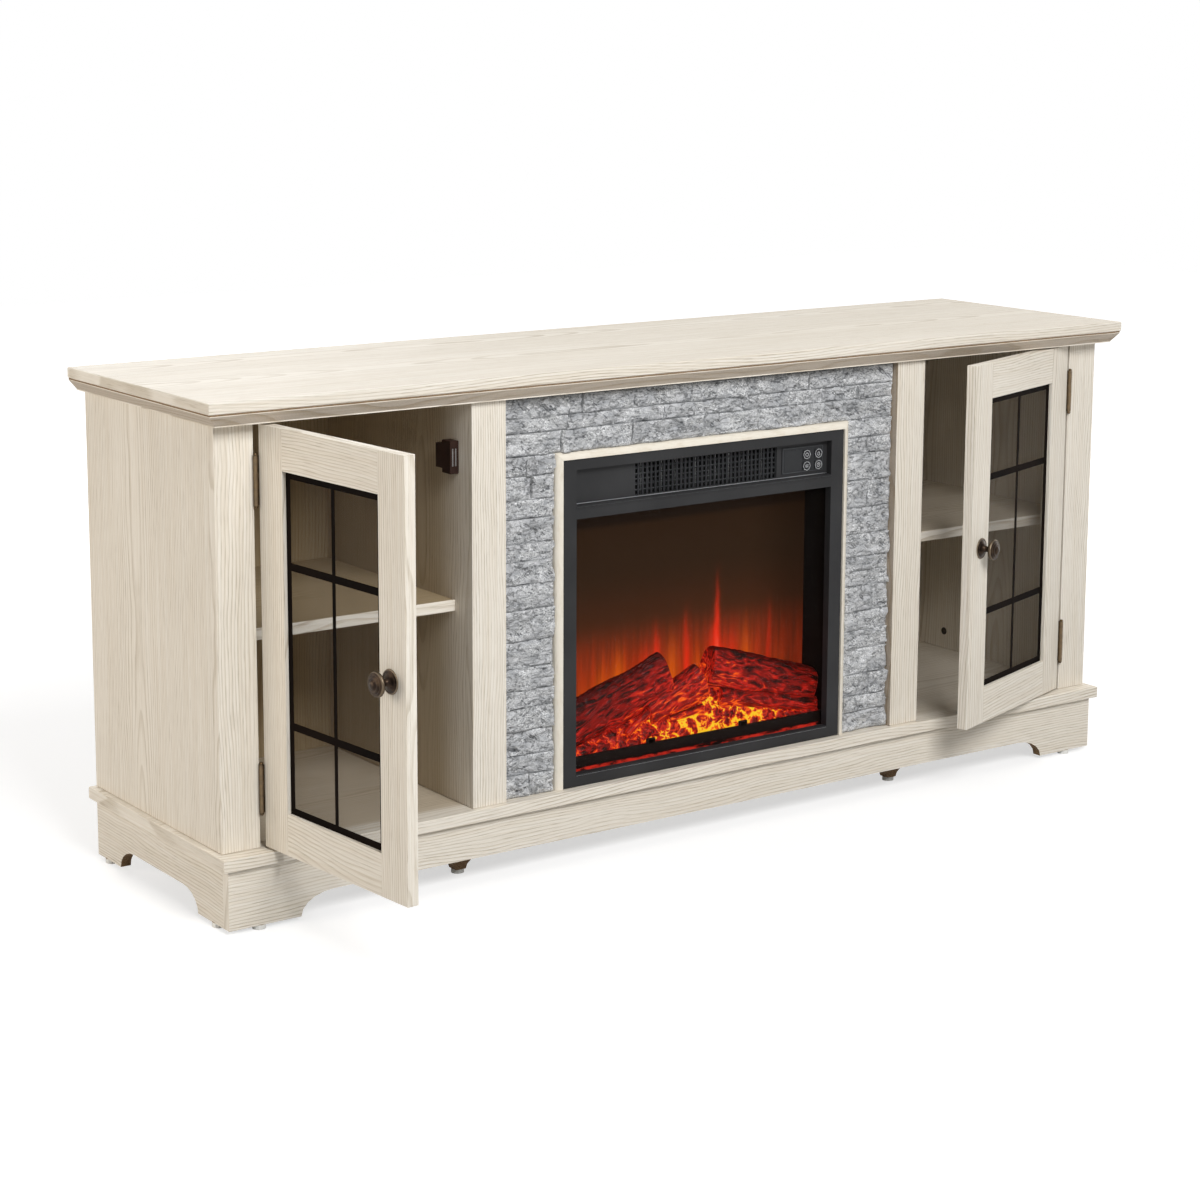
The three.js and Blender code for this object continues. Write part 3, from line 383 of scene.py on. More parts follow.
def shaded_cornice(turned, place):
    """Painted shade: the downward-facing cove of the cornice is tinted halfway to the brown of the core, and
    a fine dark line of painted shadow in the joint parts it from the top.
    """
    cove = turned[2].step(-0.25, -0.55) * turned[2].step(-0.98, -0.90) * 0.5
    return cove.most(place[2].step(cornice_top - 0.0004, cornice_top) * 0.95)


board_finish("top_board", 0, 2)
board_finish("cornice_board", 0, 2, shaded_cornice)
board_finish("base_board", 0, 2)
for side in ("left", "right"):
    board_finish(f"side_panel_{side}", 2, 0)
    board_finish(f"outer_stile_{side}", 2, 1, None, wide_heart)
    board_finish(f"partition_{side}", 2, 0)
    board_finish(f"inner_stile_{side}", 2, 1, brown_flank, wide_heart)
    board_finish(f"shelf_{side}", 0, 2)

# The plinth: three skirts with arches jigsawn between their feet, so that the arches show the
# brown core, white nailed glides under the feet, and two raw legs under the middle.
glide_white = paint(236, 235, 230)
glide_height = 0.0062
front_skirt_end = 0.768
side_arch_front = -0.0315


def brown_front_arch(turned, place):
    return abs(turned[1]).step(0.6, 0.4) * abs(place[0]).step(front_skirt_end, front_skirt_end - 0.004)


def brown_side_arch(turned, place):
    return abs(turned[0]).step(0.6, 0.4) * place[1].step(side_arch_front, side_arch_front + 0.001)


def white_glides(material):
    """White plastic below the feet of a board, whose own finish is kept above them."""
    start = Wire(material.node_tree)
    shader = next(node for node in material.node_tree.nodes if node.type == "BSDF_PRINCIPLED")
    height = start.place().parts()[2]
    under = shader.inputs["Base Color"].links[0].from_socket
    colour = height.step(glide_height, glide_height - 0.0002).tint(Wire(start.tree, under), glide_white)
    start.tree.links.new(colour.socket, shader.inputs["Base Color"])


for name, along, bare_and_shade in (
    ("skirt_front", 0, brown_front_arch),
    ("skirt_left", 1, brown_side_arch),
    ("skirt_right", 1, brown_side_arch),
):
    board_finish(name, along, 1 - along, bare_and_shade, wide_heart)
    white_glides(nodes[name].material_slots[0].material)
raw_board = open_finish("raw board")
raw_place = measured(raw_board, (0, 0, 0))
raw_speck = raw_place.stretch(500, 500, 500).grains(4.0, 0.7)
raw_inputs = {"Base Color": raw_fibre(raw_place), "Roughness": 0.72 + 0.15 * raw_speck}
raw_board = close_finish(raw_board, raw_inputs, raw_speck, 0.0006)
dress(raw_board, "support_leg_left", "support_leg_right")
white_glides(raw_board)

# The backs of the two side bays: thin fibreboard, faced with the oak print on the inside
# only, let in between the panels and pinned, with two cable holes in each.


def brown_back(turned, place):
    return turned[1].step(-0.6, -0.4)


for side in ("left", "right"):
    board_finish(f"back_panel_{side}", 2, 1, brown_back)

# The ledge-stone surround: courses of split grey stone cast on three backing plates, a wide
# one over the firebox and a narrow one at each side, glued to the frame behind the bead.
stone_mid = paint(200, 201, 203)
stone_light_and_highlight = paint(248, 249, 250)
stone_dark_and_shade = paint(78, 80, 84)
course_height = 0.0315
backing_depth = 0.0047
split_grid = 0.0024
front_play = 0.0040
ragged_end = 0.0022
facet_jut = 0.0034
facet_lean = 0.0060
step_rise = 0.0012
chip_depth = 0.0032
face_depth = 0.0022
header_stones = (0.045, 0.13)
column_stones = (0.036, 0.11)
# One seed, so that every run splits the stones and ridges the logs and embers alike.
noise.seed_set(1795999151)


def new_piece(name, mesh, finish, body, slot, *replaced, smooth=False):
    """Makes a piece of a bmesh, with faces that point outwards, on its body. Its record slot is not used."""
    bmesh.ops.remove_doubles(mesh, verts=mesh.verts, dist=1e-6)
    bmesh.ops.recalc_face_normals(mesh, faces=mesh.faces)
    for face in mesh.faces:
        face.smooth = smooth
    data = bpy.data.meshes.new(name)
    mesh.to_mesh(data)
    mesh.free()
    data.materials.append(finish)
    piece = put(name, data)
    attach(piece, body)
    if replaced:
        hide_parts(*replaced)
    return piece


def block(mesh, low, high, ease=0.0, segments=1):
    """A rectangular block between two corners, its edges eased, added to a mesh."""
    low, high = Vector(low), Vector(high)
    place = Matrix.Translation((low + high) / 2) @ Matrix.Diagonal((*(high - low), 1.0))
    verts = bmesh.ops.create_cube(mesh, size=1.0, matrix=place)["verts"]
    if ease:
        edges = list({edge for vert in verts for edge in vert.link_edges})
        bmesh.ops.bevel(mesh, geom=edges, offset=ease, offset_type="OFFSET", segments=segments, profile=0.5,
                        affect="EDGES", material=-1, clamp_overlap=True)
    return verts


def split_stone(mesh, low, high, tone, dice):
    """One stone of a course, added to a mesh: a block whose front is split into hollows and steps."""
    stone = bmesh.new()
    tone_layer = stone.verts.layers.float.new("tone")
    block(stone, low, high)
    for axis in (0, 2):
        span = high[axis] - low[axis]
        cuts = max(2, round(span / split_grid))
        edges = [edge for edge in stone.edges
                 if abs(edge.verts[0].co[axis] - edge.verts[1].co[axis]) > span * 0.5]
        bmesh.ops.subdivide_edges(stone, edges=edges, cuts=cuts, use_grid_fill=True)
    seed = Vector((dice.uniform(0, 90), dice.uniform(0, 90), dice.uniform(0, 90)))
    slope_x, slope_z = dice.uniform(-0.03, 0.03), dice.uniform(-0.16, 0.08)
    middle = (low + high) / 2
    for vert in stone.verts:
        vert[tone_layer] = tone
        if vert.co.y > low.y + 1e-5:
            continue
        place = vert.co
        rim = min(place.x - low.x, high.x - place.x, place.z - low.z, high.z - place.z)
        facet_place = Vector((place.x * 36, 0, place.z * 58)) + seed
        facet_place += 0.22 * noise.noise_vector(facet_place * 3.1)
        facet_spot = noise.voronoi(facet_place)[1][0]
        luck = noise.cell_vector(facet_spot * 7) - Vector((0.5, 0.5, 0.5))
        lean = facet_place - facet_spot
        facet = facet_jut * luck.y + facet_lean * (lean.x * luck.x + lean.z * luck.z)
        wave = noise.fractal(Vector((place.x * 34, 0, place.z * 60)) + seed, 0.7, 2.2, 5)
        scar = noise.noise(Vector((place.x * 22, 3, place.z * 46)) + seed)
        bite = noise.noise(Vector((place.x * 60, 8, place.z * 60)) + seed)
        step = step_rise * round(scar * 3.0) + facet
        chip = chip_depth * max(0.0, 1 - rim / (0.0028 + 0.0060 * max(0.0, bite))) ** 1.4
        slope = (place.x - middle.x) * slope_x + (place.z - middle.z) * slope_z
        drop = face_depth + 0.0013 * wave + step + chip + slope
        vert.co.y += min(max(drop, 0.0), (high.y - low.y) * 0.8)
    carrier = bpy.data.meshes.new("stone")
    stone.to_mesh(carrier)
    stone.free()
    mesh.from_mesh(carrier)
    bpy.data.meshes.remove(carrier)


def stone_courses(name, finish, left, right, lengths, node):
    """Backing plate and the courses of one stone panel, from the bottom up."""
    dice = random.Random(name)
    low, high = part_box(node)
    mesh = bmesh.new()
    mesh.verts.layers.float.new("tone")
    block(mesh, (low.x, high.y - backing_depth, low.z), high)
    courses = round((high.z - low.z) / course_height)
    heights = [dice.uniform(0.7, 1.35) for _ in range(courses)]
    bottom = low.z
    for height in heights:
        top = bottom + (high.z - low.z) * height / sum(heights)
        x = left
        while x < right - 1e-6:
            end = x + dice.uniform(*lengths)
            end = right if right - end < lengths[0] * 0.75 else end
            front = dice.uniform(low.y, low.y + front_play)
            seam = dice.uniform(0.0002, 0.0005)
            ragged = dice.uniform(0.0, ragged_end) if end == right else 0.0
            corner_low = Vector((x + seam, front, bottom + seam))
            corner_high = Vector((end - seam - ragged, high.y - backing_depth, top - seam))
            split_stone(mesh, corner_low, corner_high, dice.random(), dice)
            x = end
        bottom = top
    return new_piece(name, mesh, finish, "cabinet", "stone", node)


def broken_lines(vector, detail, sharp):
    """Thin crinkled lines that wander over a broken face, 1 on a line and 0 away from it."""
    return (abs(vector.grains(detail, 0.62) - 0.5) * sharp).step(1.0, 0.0)


def ledge_stone_finish():
    """Grey stone with painted shade in its cracks and hollows, painted highlights on its convex edges and a
    painted shadow along its top under the cornice, crossed by the white crests of fresh splits.
    """
    start = open_finish("ledge stone")
    tone = start.node("ShaderNodeAttribute", {"attribute_name": "tone"}, None, "Fac")
    shift = start.joined(tone * 7, tone * 3, tone * 5)
    place = measured(start, (0, 0, 0.3)).vector("ADD", shift)
    crest = broken_lines(place.stretch(46, 46, 84), 5.0, 24.0)
    scratch = broken_lines(place.stretch(170, 170, 230), 4.0, 11.0)
    crack = broken_lines(place.stretch(-38, 38, -80), 5.0, 44.0)
    burst = place.stretch(24, 24, 36).grains(2.0, 0.5).step(0.44, 0.60)
    fleck = place.stretch(800, 800, 900).grains(2.0, 0.6)
    cloud = place.stretch(34, 34, 60).grains(3.0, 0.55)
    edge = start.node("ShaderNodeNewGeometry", None, None, "Pointiness")
    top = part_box("stone_header")[1].z
    colour = coats(
        stone_mid,
        (cloud.step(0.36, 0.64), paint(166, 168, 171)),
        (tone * 0.4, paint(132, 134, 138)),
        (fleck.step(0.5, 0.30) * 0.2, stone_dark_and_shade),
        # Painted shade in the cracks.
        (crack * 0.45, stone_dark_and_shade),
        (scratch * (0.15 + 0.85 * burst), stone_light_and_highlight),
        (crest * (0.5 + 0.5 * burst), stone_light_and_highlight),
        # Painted highlights on convex edges and painted shade in hollows, found by pointiness.
        (edge.step(0.560, 0.640) * 0.75, stone_light_and_highlight),
        (edge.step(0.490, 0.450) * 0.8, stone_dark_and_shade),
        # A painted shadow under the cornice along the top of the stone.
        (start.place().parts()[2].step(top - 0.007, top - 0.002) * 0.8, paint(50, 50, 50)),
    )
    inputs = {"Base Color": colour, "Roughness": 0.55 + 0.3 * fleck, "Specular IOR Level": 0.35}
    relief = crest * 0.35 + scratch * 0.2 * burst + cloud * 0.8 - crack * 0.5 + fleck * 0.15
    return close_finish(start, inputs, relief, 0.0030)


ledge_stone = ledge_stone_finish()
stile_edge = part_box("inner_stile_right")[0].x
column_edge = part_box("stone_right")[0].x
for side, left, right, lengths in (
    ("header", -stile_edge, stile_edge, header_stones),
    ("left", -stile_edge, -column_edge, column_stones),
    ("right", column_edge, stile_edge, column_stones),
):
    stone_courses(f"ledge_stone_{side}", ledge_stone, left, right, lengths, f"stone_{side}")

# The bead round the firebox: a small half-round moulding painted cream, mitred at the top
# corners and pinned over the edge of the stone.


def grained(name, height, stretch, grains, band, colours, sockets, depth=None):
    """A finish with one grain. A socket's two numbers are a value and what the grain adds to it."""
    start = open_finish(name)
    grain = measured(start, (0, 0, height)).stretch(*stretch).grains(*grains)
    mask = grain.step(*band) if band else grain
    inputs = {"Base Color": mask.tint(*colours)}
    for socket, value in sockets.items():
        inputs[socket] = value[0] + value[1] * grain if isinstance(value, tuple) else value
    return close_finish(start, inputs, grain if depth else None, depth)


cream = (paint(230, 223, 209), paint(220, 211, 194))
bead_paint = grained(
    "cream bead", 0.3, (60, 400, 60), (4.0, 0.6), (0.4, 0.75), cream, {"Roughness": (0.4, 0.15)}, 0.0002)
dress(bead_paint, "trim_top", "trim_left", "trim_right")

# The firebox's frame and fascia: pressed steel in charcoal powder coat, screwed to the
# housing. Thin bright strips give a bright bead under the heater's louvres, and painted
# highlights along the rail's top edge and at the foot of the glass.
coat_rub = paint(84, 84, 86)
window_half = 0.2283
line_rise = 0.0012
line_ease = 0.0003
glass_foot = 0.1205


def powder_coat(name, base, dark, rub=0.25, shine=0.18):
    """A fine stippled coat, rubbed paler on the tips of its stipple."""
    start = open_finish(name)
    place = measured(start, (0, 0, 0.3))
    stipple = place.stretch(1500, 1500, 1500).grains(3.0, 0.6)
    cloud = place.stretch(9, 9, 9).grains(3.0, 0.5)
    colour = coats(base, (cloud.step(0.3, 0.7), dark), (stipple.step(0.6, 0.8) * rub, coat_rub))
    inputs = {"Base Color": colour, "Roughness": 0.42 + 0.16 * stipple, "Specular IOR Level": shine}
    return close_finish(start, inputs, stipple, 0.00012)


dress(powder_coat("charcoal powder coat", paint(50, 50, 51), paint(40, 40, 41)), "insert_bezel")
bright_metal = grained(
    "bright metal", 0.3, (8, 900, 900), (4.0, 0.6), (0.3, 0.7), (paint(205, 207, 210), paint(160, 162, 166)),
    {"Metallic": 1.0, "Roughness": (0.25, 0.2)}, 0.0001)
bezel_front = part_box("insert_bezel")[0].y
fascia_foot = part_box("heater_grille")[0].z
lines = bmesh.new()
# A painted highlight on the rail's top edge, a bright bead at the fascia's foot, and a painted highlight at
# the foot of the glass.
for near, far, foot in (
    (0.0001, 0.0012, fascia_foot - 0.0020),
    (0.0096, 0.0108, fascia_foot + 0.0006),
    (0.0001, 0.0012, glass_foot),
):
    line_low = (-window_half, bezel_front + near, foot)
    block(lines, line_low, (window_half, bezel_front + far, foot + line_rise), line_ease)
new_piece("bead_and_highlight_strips", lines, bright_metal, "cabinet", "fin_aluminium")

# The heater behind the fascia: a louvred plate with guard wires, a fin element in a steel
# throat, and a cross-flow wheel with its motor at the end of the scroll.
wire_height_shares = (0.20, 0.35, 0.50, 0.65, 0.80)
wire_half = 0.0005
wire_inset = 0.004
wire_back = 0.0007
fine_ease = 0.0002
housing_half = 0.2370
housing_back = 0.1454
housing_foot, housing_head = 0.1055, 0.4890
sheet_edge = 0.0004
dress(powder_coat("louvre black", paint(44, 45, 47), paint(26, 27, 29)), "heater_grille")
low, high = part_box("heater_grille")
guard = bmesh.new()
for share in wire_height_shares:
    height = low.z + share * (high.z - low.z)
    wire_low = (low.x + wire_inset, low.y + wire_back, height - wire_half)
    wire_high = (high.x - wire_inset, low.y + wire_back + 2 * wire_half, height + wire_half)
    block(guard, wire_low, wire_high, fine_ease)
guard_coat = powder_coat("guard wire", paint(92, 93, 95), paint(58, 59, 61))
new_piece("heater_guard_wires", guard, guard_coat, "cabinet", "black_steel")

fin_metal = grained(
    "rolled fins", 0.5, (700, 60, 60), (4.0, 0.6), (0.3, 0.75), (paint(196, 197, 198), paint(132, 128, 122)),
    {"Metallic": 1.0, "Roughness": (0.3, 0.25)}, 0.0002)
dress(fin_metal, "heating_element", "flicker_spindle")
dress(powder_coat("moulded black", paint(34, 34, 36), paint(22, 22, 24)), "blower_wheel")


def galvanised(name, inside_dark):
    """Grey sheet steel with a spangle; the firebox's own inside is painted black."""
    start = open_finish(name)
    place = measured(start, (0, 0, 0))
    spangle = start.node("ShaderNodeTexVoronoi", None, {"Vector": place, "Scale": 120.0}, "Color")
    spangle = spangle.node("ShaderNodeSeparateColor", None, {0: spangle})
    smear = place.stretch(20, 20, 60).grains(4.0, 0.6)
    colour = (0.35 * spangle + 0.65 * smear).tint(paint(122, 125, 128), paint(178, 180, 182))
    metal = 0.75
    rough = 0.38 + 0.2 * smear
    if inside_dark:
        x, y, z = start.place().parts()
        inner = abs(x).step(housing_half + sheet_edge, housing_half)
        inner = inner * y.step(housing_back + sheet_edge, housing_back)
        inner = inner * z.step(housing_foot, housing_foot + sheet_edge)
        inner = inner * z.step(housing_head + sheet_edge, housing_head)
        colour = inner.tint(colour, paint(7, 6, 5))
        metal = metal * (1 - inner)
        rough = rough + inner * 0.3
    inputs = {"Base Color": colour, "Metallic": metal, "Roughness": rough, "Specular IOR Level": 0.15}
    return close_finish(start, inputs, smear * 0.5 + spangle * 0.5, 0.00015)


dress(galvanised("galvanised duct", False), "heater_duct", "flicker_motor")
dress(galvanised("galvanised housing", True), "insert_housing")

# The controls: a black panel let into the fascia, with a small dark display and four keys
# that press on switches of the circuit board behind them. Rings and signs are printed on.
display_inset = 0.0045
display_gap = 0.0022
display_out = 0.0003
display_sunk = 0.0006
stroke_wide = 0.0005
print_deep = 0.0003
key_ring = 0.0062
print_lift = 0.00012
border_near, border_far, border_end = 0.0012, 0.0019, 0.0015
border_out = 0.0002
sharp_ease = 0.0001
# The arcs of each key's sign: across, up, radius, share of a turn and where it starts in degrees;
# then its bars: across, up, width, height and lean in degrees.
signs = {
    "power": ([(0, 0, 0.0024, 0.82, -58)], [(0, 0.0024, stroke_wide, 0.0026, 0)]),
    "flame": (
        [(0, -0.0010, 0.0018, 0.62, -22)],
        [(0.0010, 0.0014, stroke_wide, 0.0030, -30), (-0.0012, 0.0012, stroke_wide, 0.0026, 24)],
    ),
    "heater": ([], [
        (across, up, stroke_wide, 0.0026, lean)
        for across in (-0.0019, 0, 0.0019) for up, lean in ((0.0013, 16), (-0.0011, -16))
    ]),
    "timer": (
        [(0, 0, 0.0027, 1.0, 0)], [(0, 0.0011, stroke_wide, 0.0022, 0), (0.0008, 0, 0.0018, stroke_wide, 0)],
    ),
}
dress(powder_coat("panel black", paint(44, 45, 47), paint(34, 35, 37)), "control_panel")
key_black = powder_coat("key black", paint(46, 47, 49), paint(32, 33, 35))
dress(key_black, "power_button", "flame_button", "heater_button", "timer_button")


def circuit_finish():
    """Green board with paler tracks."""
    start = open_finish("circuit board")
    place = measured(start, (0, 0, 0.5))
    inputs = {"Vector": place, "Scale": 90.0, "Mortar": (1, 1, 1, 1)}
    inputs.update({"Color1": (0, 0, 0, 1), "Color2": (0.25, 0.25, 0.25, 1)})
    track = start.node("ShaderNodeTexBrick", None, inputs, "Fac")
    cloud = place.stretch(80, 80, 80).grains(3.0)
    colour = coats(paint(24, 92, 52), (cloud, paint(36, 116, 68)), (track * 0.5, paint(120, 150, 96)))
    return close_finish(start, {"Base Color": colour, "Roughness": 0.35 + 0.1 * cloud}, cloud, 0.0002)


dress(circuit_finish(), "control_board")
print_grey = grained(
    "printed grey", 0.5, (1800, 1800, 1800), (2.0,), (0.35, 0.75),
    (paint(232, 234, 236), paint(176, 178, 180)), {"Roughness": (0.5, 0.1)})
display_glass = grained(
    "display", 0.5, (120, 120, 120), (4.0,), None, (paint(34, 35, 37), paint(42, 43, 45)),
    {"Roughness": (0.25, 0.12), "Specular IOR Level": 0.2})
low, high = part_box("control_panel")
display = bmesh.new()
display_low = (low.x + display_inset, low.y - display_out, low.z + display_inset)
display_high = (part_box("power_button")[0].x - display_gap, low.y + display_sunk, high.z - display_inset)
block(display, display_low, display_high, fine_ease)
new_piece("control_display", display, display_glass, "cabinet", "black_plastic")


def ring(mesh, centre, radius, share=1.0, turn=0.0, steps=24):
    """A printed ring that faces the front: a small rectangle spun about the line of sight."""
    x, y, z = centre
    rim = [mesh.verts.new((x + radius + across, y + back, z))
           for across, back in ((0, 0), (stroke_wide, 0), (stroke_wide, print_deep), (0, print_deep))]
    edges = [mesh.edges.new((rim[i], rim[(i + 1) % 4])) for i in range(4)]
    bmesh.ops.rotate(mesh, verts=rim, cent=centre, matrix=Matrix.Rotation(math.radians(turn), 3, "Y"))
    whole = share >= 1.0
    caps = [] if whole else [mesh.faces.new(rim)]
    bmesh.ops.spin(mesh, geom=[*rim, *edges, *caps], cent=centre, axis=(0, 1, 0), angle=math.tau * share,
                   steps=max(3, round(steps * share)), use_merge=whole)


def bar_sign(mesh, centre, width, height, lean):
    """A printed stroke that faces the front, leaning to one side."""
    x, y, z = centre
    verts = block(mesh, (x - width / 2, y, z - height / 2), (x + width / 2, y + print_deep, z + height / 2))
    bmesh.ops.rotate(mesh, verts=verts, cent=centre, matrix=Matrix.Rotation(math.radians(lean), 3, "Y"))


for key, (arcs, bars) in signs.items():
    key_low, key_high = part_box(f"{key}_button")
    middle = (key_low + key_high) / 2
    middle.y = key_low.y - print_lift
    sign = bmesh.new()
    ring(sign, middle, key_ring, steps=8)
    for across, up, radius, share, turn in arcs:
        ring(sign, middle + Vector((across, 0, up)), radius, share, turn)
    for across, up, width, height, lean in bars:
        bar_sign(sign, middle + Vector((across, 0, up)), width, height, lean)
    new_piece(f"{key}_sign", sign, print_grey, f"{key}_key", "black_plastic")
border = bmesh.new()
for left, foot, right, head in (
    (low.x + border_end, low.z + border_near, high.x - border_end, low.z + border_far),
    (low.x + border_end, high.z - border_far, high.x - border_end, high.z - border_near),
    (low.x + border_near, low.z + border_end, low.x + border_far, high.z - border_end),
    (high.x - border_far, low.z + border_end, high.x - border_near, high.z - border_end),
):
    block(border, (left, low.y - border_out, foot), (right, low.y + print_deep, head), sharp_ease)
panel_edge = powder_coat("panel edge", paint(84, 86, 88), paint(60, 61, 63), 0.1)
new_piece("control_border", border, panel_edge, "cabinet", "black_plastic")

# The fire: a translucent screen that the flicker spindle throws tongues of light on, and
# before it one thin resin moulding of logs and embers, painted and lit from inside.
# The light of the screen and of the moulding is painted as a glow of emission.
tongue_length = 0.140
# Middle, top, half width and strength of each tongue of light.
amber_tongues = (
    (-0.176, 0.275, 0.0150, 0.60), (-0.140, 0.300, 0.0110, 0.70), (-0.108, 0.315, 0.0120, 0.95),
    (-0.012, 0.325, 0.0110, 0.75), (0.036, 0.310, 0.0120, 0.60), (0.126, 0.330, 0.0110, 0.60),
    (0.190, 0.285, 0.0160, 0.45),
)
red_tongues = (
    (-0.086, 0.290, 0.0080, 0.55), (-0.058, 0.300, 0.0100, 1.25), (-0.040, 0.335, 0.0060, 0.95),
    (0.016, 0.350, 0.0065, 0.75), (0.066, 0.320, 0.0110, 0.85), (0.078, 0.300, 0.0075, 1.30),
    (0.072, 0.400, 0.0045, 0.60), (0.102, 0.330, 0.0085, 0.60), (0.170, 0.345, 0.0050, 0.60),
)


def flame_screen_finish():
    """Dark smoky plastic on which red and amber tongues of light stand over a low glow."""
    start = open_finish("flame screen")
    x, _, z = measured(start, (0, 0, 0)).parts()
    lick = start.joined(x * 130, 5.0, z * 7).grains(3.0, 0.6)
    sway = x + (start.joined(x * 9, 2.0, z * 14).grains(2.0) - 0.5) * 0.016

    def tongue(middle, top, half, strength):
        away = (sway - middle) / (half * 1.35)
        return (1 / (1 + away * away)) ** 1.5 * z.step(top, top - tongue_length) * strength

    streaks = 0.45 + 0.9 * lick
    red = sum(tongue(*place) for place in red_tongues) * streaks
    amber = sum(tongue(*place) for place in amber_tongues) * streaks
    light = coats(
        paint(42, 26, 13),
        (z.step(0.400, 0.190), paint(92, 42, 17)),
        (z.step(0.320, 0.215) * (0.35 + 0.65 * lick.step(0.3, 0.7)), paint(190, 52, 17)),
        (amber.step(0.0, 0.85), paint(220, 96, 16)),
        (red.step(0.0, 0.75), paint(232, 46, 20)),
        (red.step(0.60, 1.15), paint(255, 84, 58)),
        # Painted shade in the glow: darker toward the right end, and a painted shadow of the fascia across
        # the top.
        (x.step(0.120, 0.225) * 0.6, paint(22, 13, 7)),
        (z.step(0.450, 0.460) * 0.8, paint(16, 10, 7)),
    )
    return close_finish(start, {
        "Base Color": lick.tint(paint(18, 12, 8), paint(26, 18, 12)), "Roughness": 0.35 + 0.1 * lick,
        "Specular IOR Level": 0.03, "Emission Color": light, "Emission Strength": 1.0,
    })


dress(flame_screen_finish(), "flame_screen")

glow_name = "glow_share"
log_deep = 0.0185
bark_cell = 0.0019
saw_insets = (0.06, 0.14, 0.16, 0.2, 0.2)
worn_end = 0.010
ember_foot = 0.127
ember_rise = 0.036
ember_crest = 0.053
ember_slope = 0.024
lump_depth = 0.0052
fret_head = 0.153
fret_clear = 0.0026
glass_clear = 0.0004
skirt_back = 0.012
skirt_foot = 0.003
mould_play = 0.0004
mould_front_play = 0.0002
mould_foot_play = 0.0024
brightest_across = 0.005
ember_dark = paint(112, 15, 9)
ember_red = paint(186, 33, 22)
ember_orange = paint(255, 98, 20)
ember_yellow = paint(255, 206, 40)


def glowing_mesh():
    """An empty mesh, and where its points keep their share of the painted glow and the place that their
    pattern follows.
    """
    mesh = bmesh.new()
    mesh.verts.layers.float.new(glow_name)
    rest_layer = mesh.verts.layers.float_vector.new("rest")
    return mesh, mesh.verts.layers.float[glow_name], rest_layer


def log(start, end, radius_start, radius_end, seed, glow):
    """A resin log: a drum between two ends, flattened front to back, with ridged bark and sawn ends."""
    mesh, glow_layer, rest_layer = glowing_mesh()
    start, end = Vector(start), Vector(end)
    along = end - start
    length = along.length
    radius = max(radius_start, radius_end)
    bmesh.ops.create_cone(mesh, cap_ends=True, segments=max(20, round(radius * 2600)), radius1=radius_start,
                          radius2=radius_end, depth=length)
    walls = [edge for edge in mesh.edges if abs(edge.verts[0].co.z - edge.verts[1].co.z) > length * 0.5]
    bmesh.ops.subdivide_edges(mesh, edges=walls, cuts=max(8, round(length / bark_cell)), use_grid_fill=True)
    for face in [face for face in mesh.faces if len(face.verts) > 4]:
        for inset in saw_insets:
            bmesh.ops.inset_region(mesh, faces=[face], thickness=radius * inset, use_even_offset=True)
    for vert in mesh.verts:
        angle = math.atan2(vert.co.y, vert.co.x)
        here = radius_start + (radius_end - radius_start) * (vert.co.z / length + 0.5)
        out = math.hypot(vert.co.x, vert.co.y) / here
        vert[rest_layer] = vert.co + Vector((seed, seed * 0.7, seed * 1.3))
        coarse = Vector((math.cos(angle) * 1.3 + seed, math.sin(angle) * 1.3, vert.co.z * 14))
        grown = 0.95 + 0.13 * noise.noise(coarse)
        ridge_place = Vector((math.cos(angle) * 4.6 + seed, math.sin(angle) * 4.6 + 7, vert.co.z * 34))
        ridge_place += 0.9 * noise.noise_vector(coarse * 2.3)
        ridge = 1 - abs(noise.noise(ridge_place)) * 2.8
        if out < 0.97:
            sunk = min(0.005, here * 0.25) * (1 - out) + 0.0005 * math.sin(out * 26)
            vert.co.z -= math.copysign(sunk, vert.co.z)
        elif abs(vert.co.z) < length / 2 - 1e-5:
            near_end = max(0.0, 1 - (length / 2 - abs(vert.co.z)) / worn_end)
            grown += 0.075 * ridge * (1 - near_end * 0.7) + 0.03 * near_end
        vert.co.x *= grown
        vert.co.y *= grown
        vert[glow_layer] = ridge
    turn = Vector((0, 0, 1)).rotation_difference(along.normalized()).to_matrix().to_4x4()
    flatten = Matrix.Diagonal((1.0, min(1.0, log_deep / radius), 1.0, 1.0))
    place = Matrix.Translation((start + end) / 2) @ flatten @ turn
    bmesh.ops.transform(mesh, verts=mesh.verts, matrix=place)
    # The painted glow of a log: strongest low down and near the middle of the fire, none on its crown and
    # less on its ridges.
    for vert in mesh.verts:
        share = (vert.co - start).dot(along) / length ** 2
        up = (vert.co.z - (start + along * share).z) / radius
        centre = 0.60 + 0.60 * math.exp(-((vert.co.x - brightest_across) / 0.13) ** 2)
        crown = min(1.0, max(0.0, (0.92 - up) / 0.3))
        hollow = 0.75 - 0.35 * vert[glow_layer]
        vert[glow_layer] = min(0.56, glow * (0.42 + 0.58 * (1 - up) / 2) * crown * centre * hollow)
    return mesh


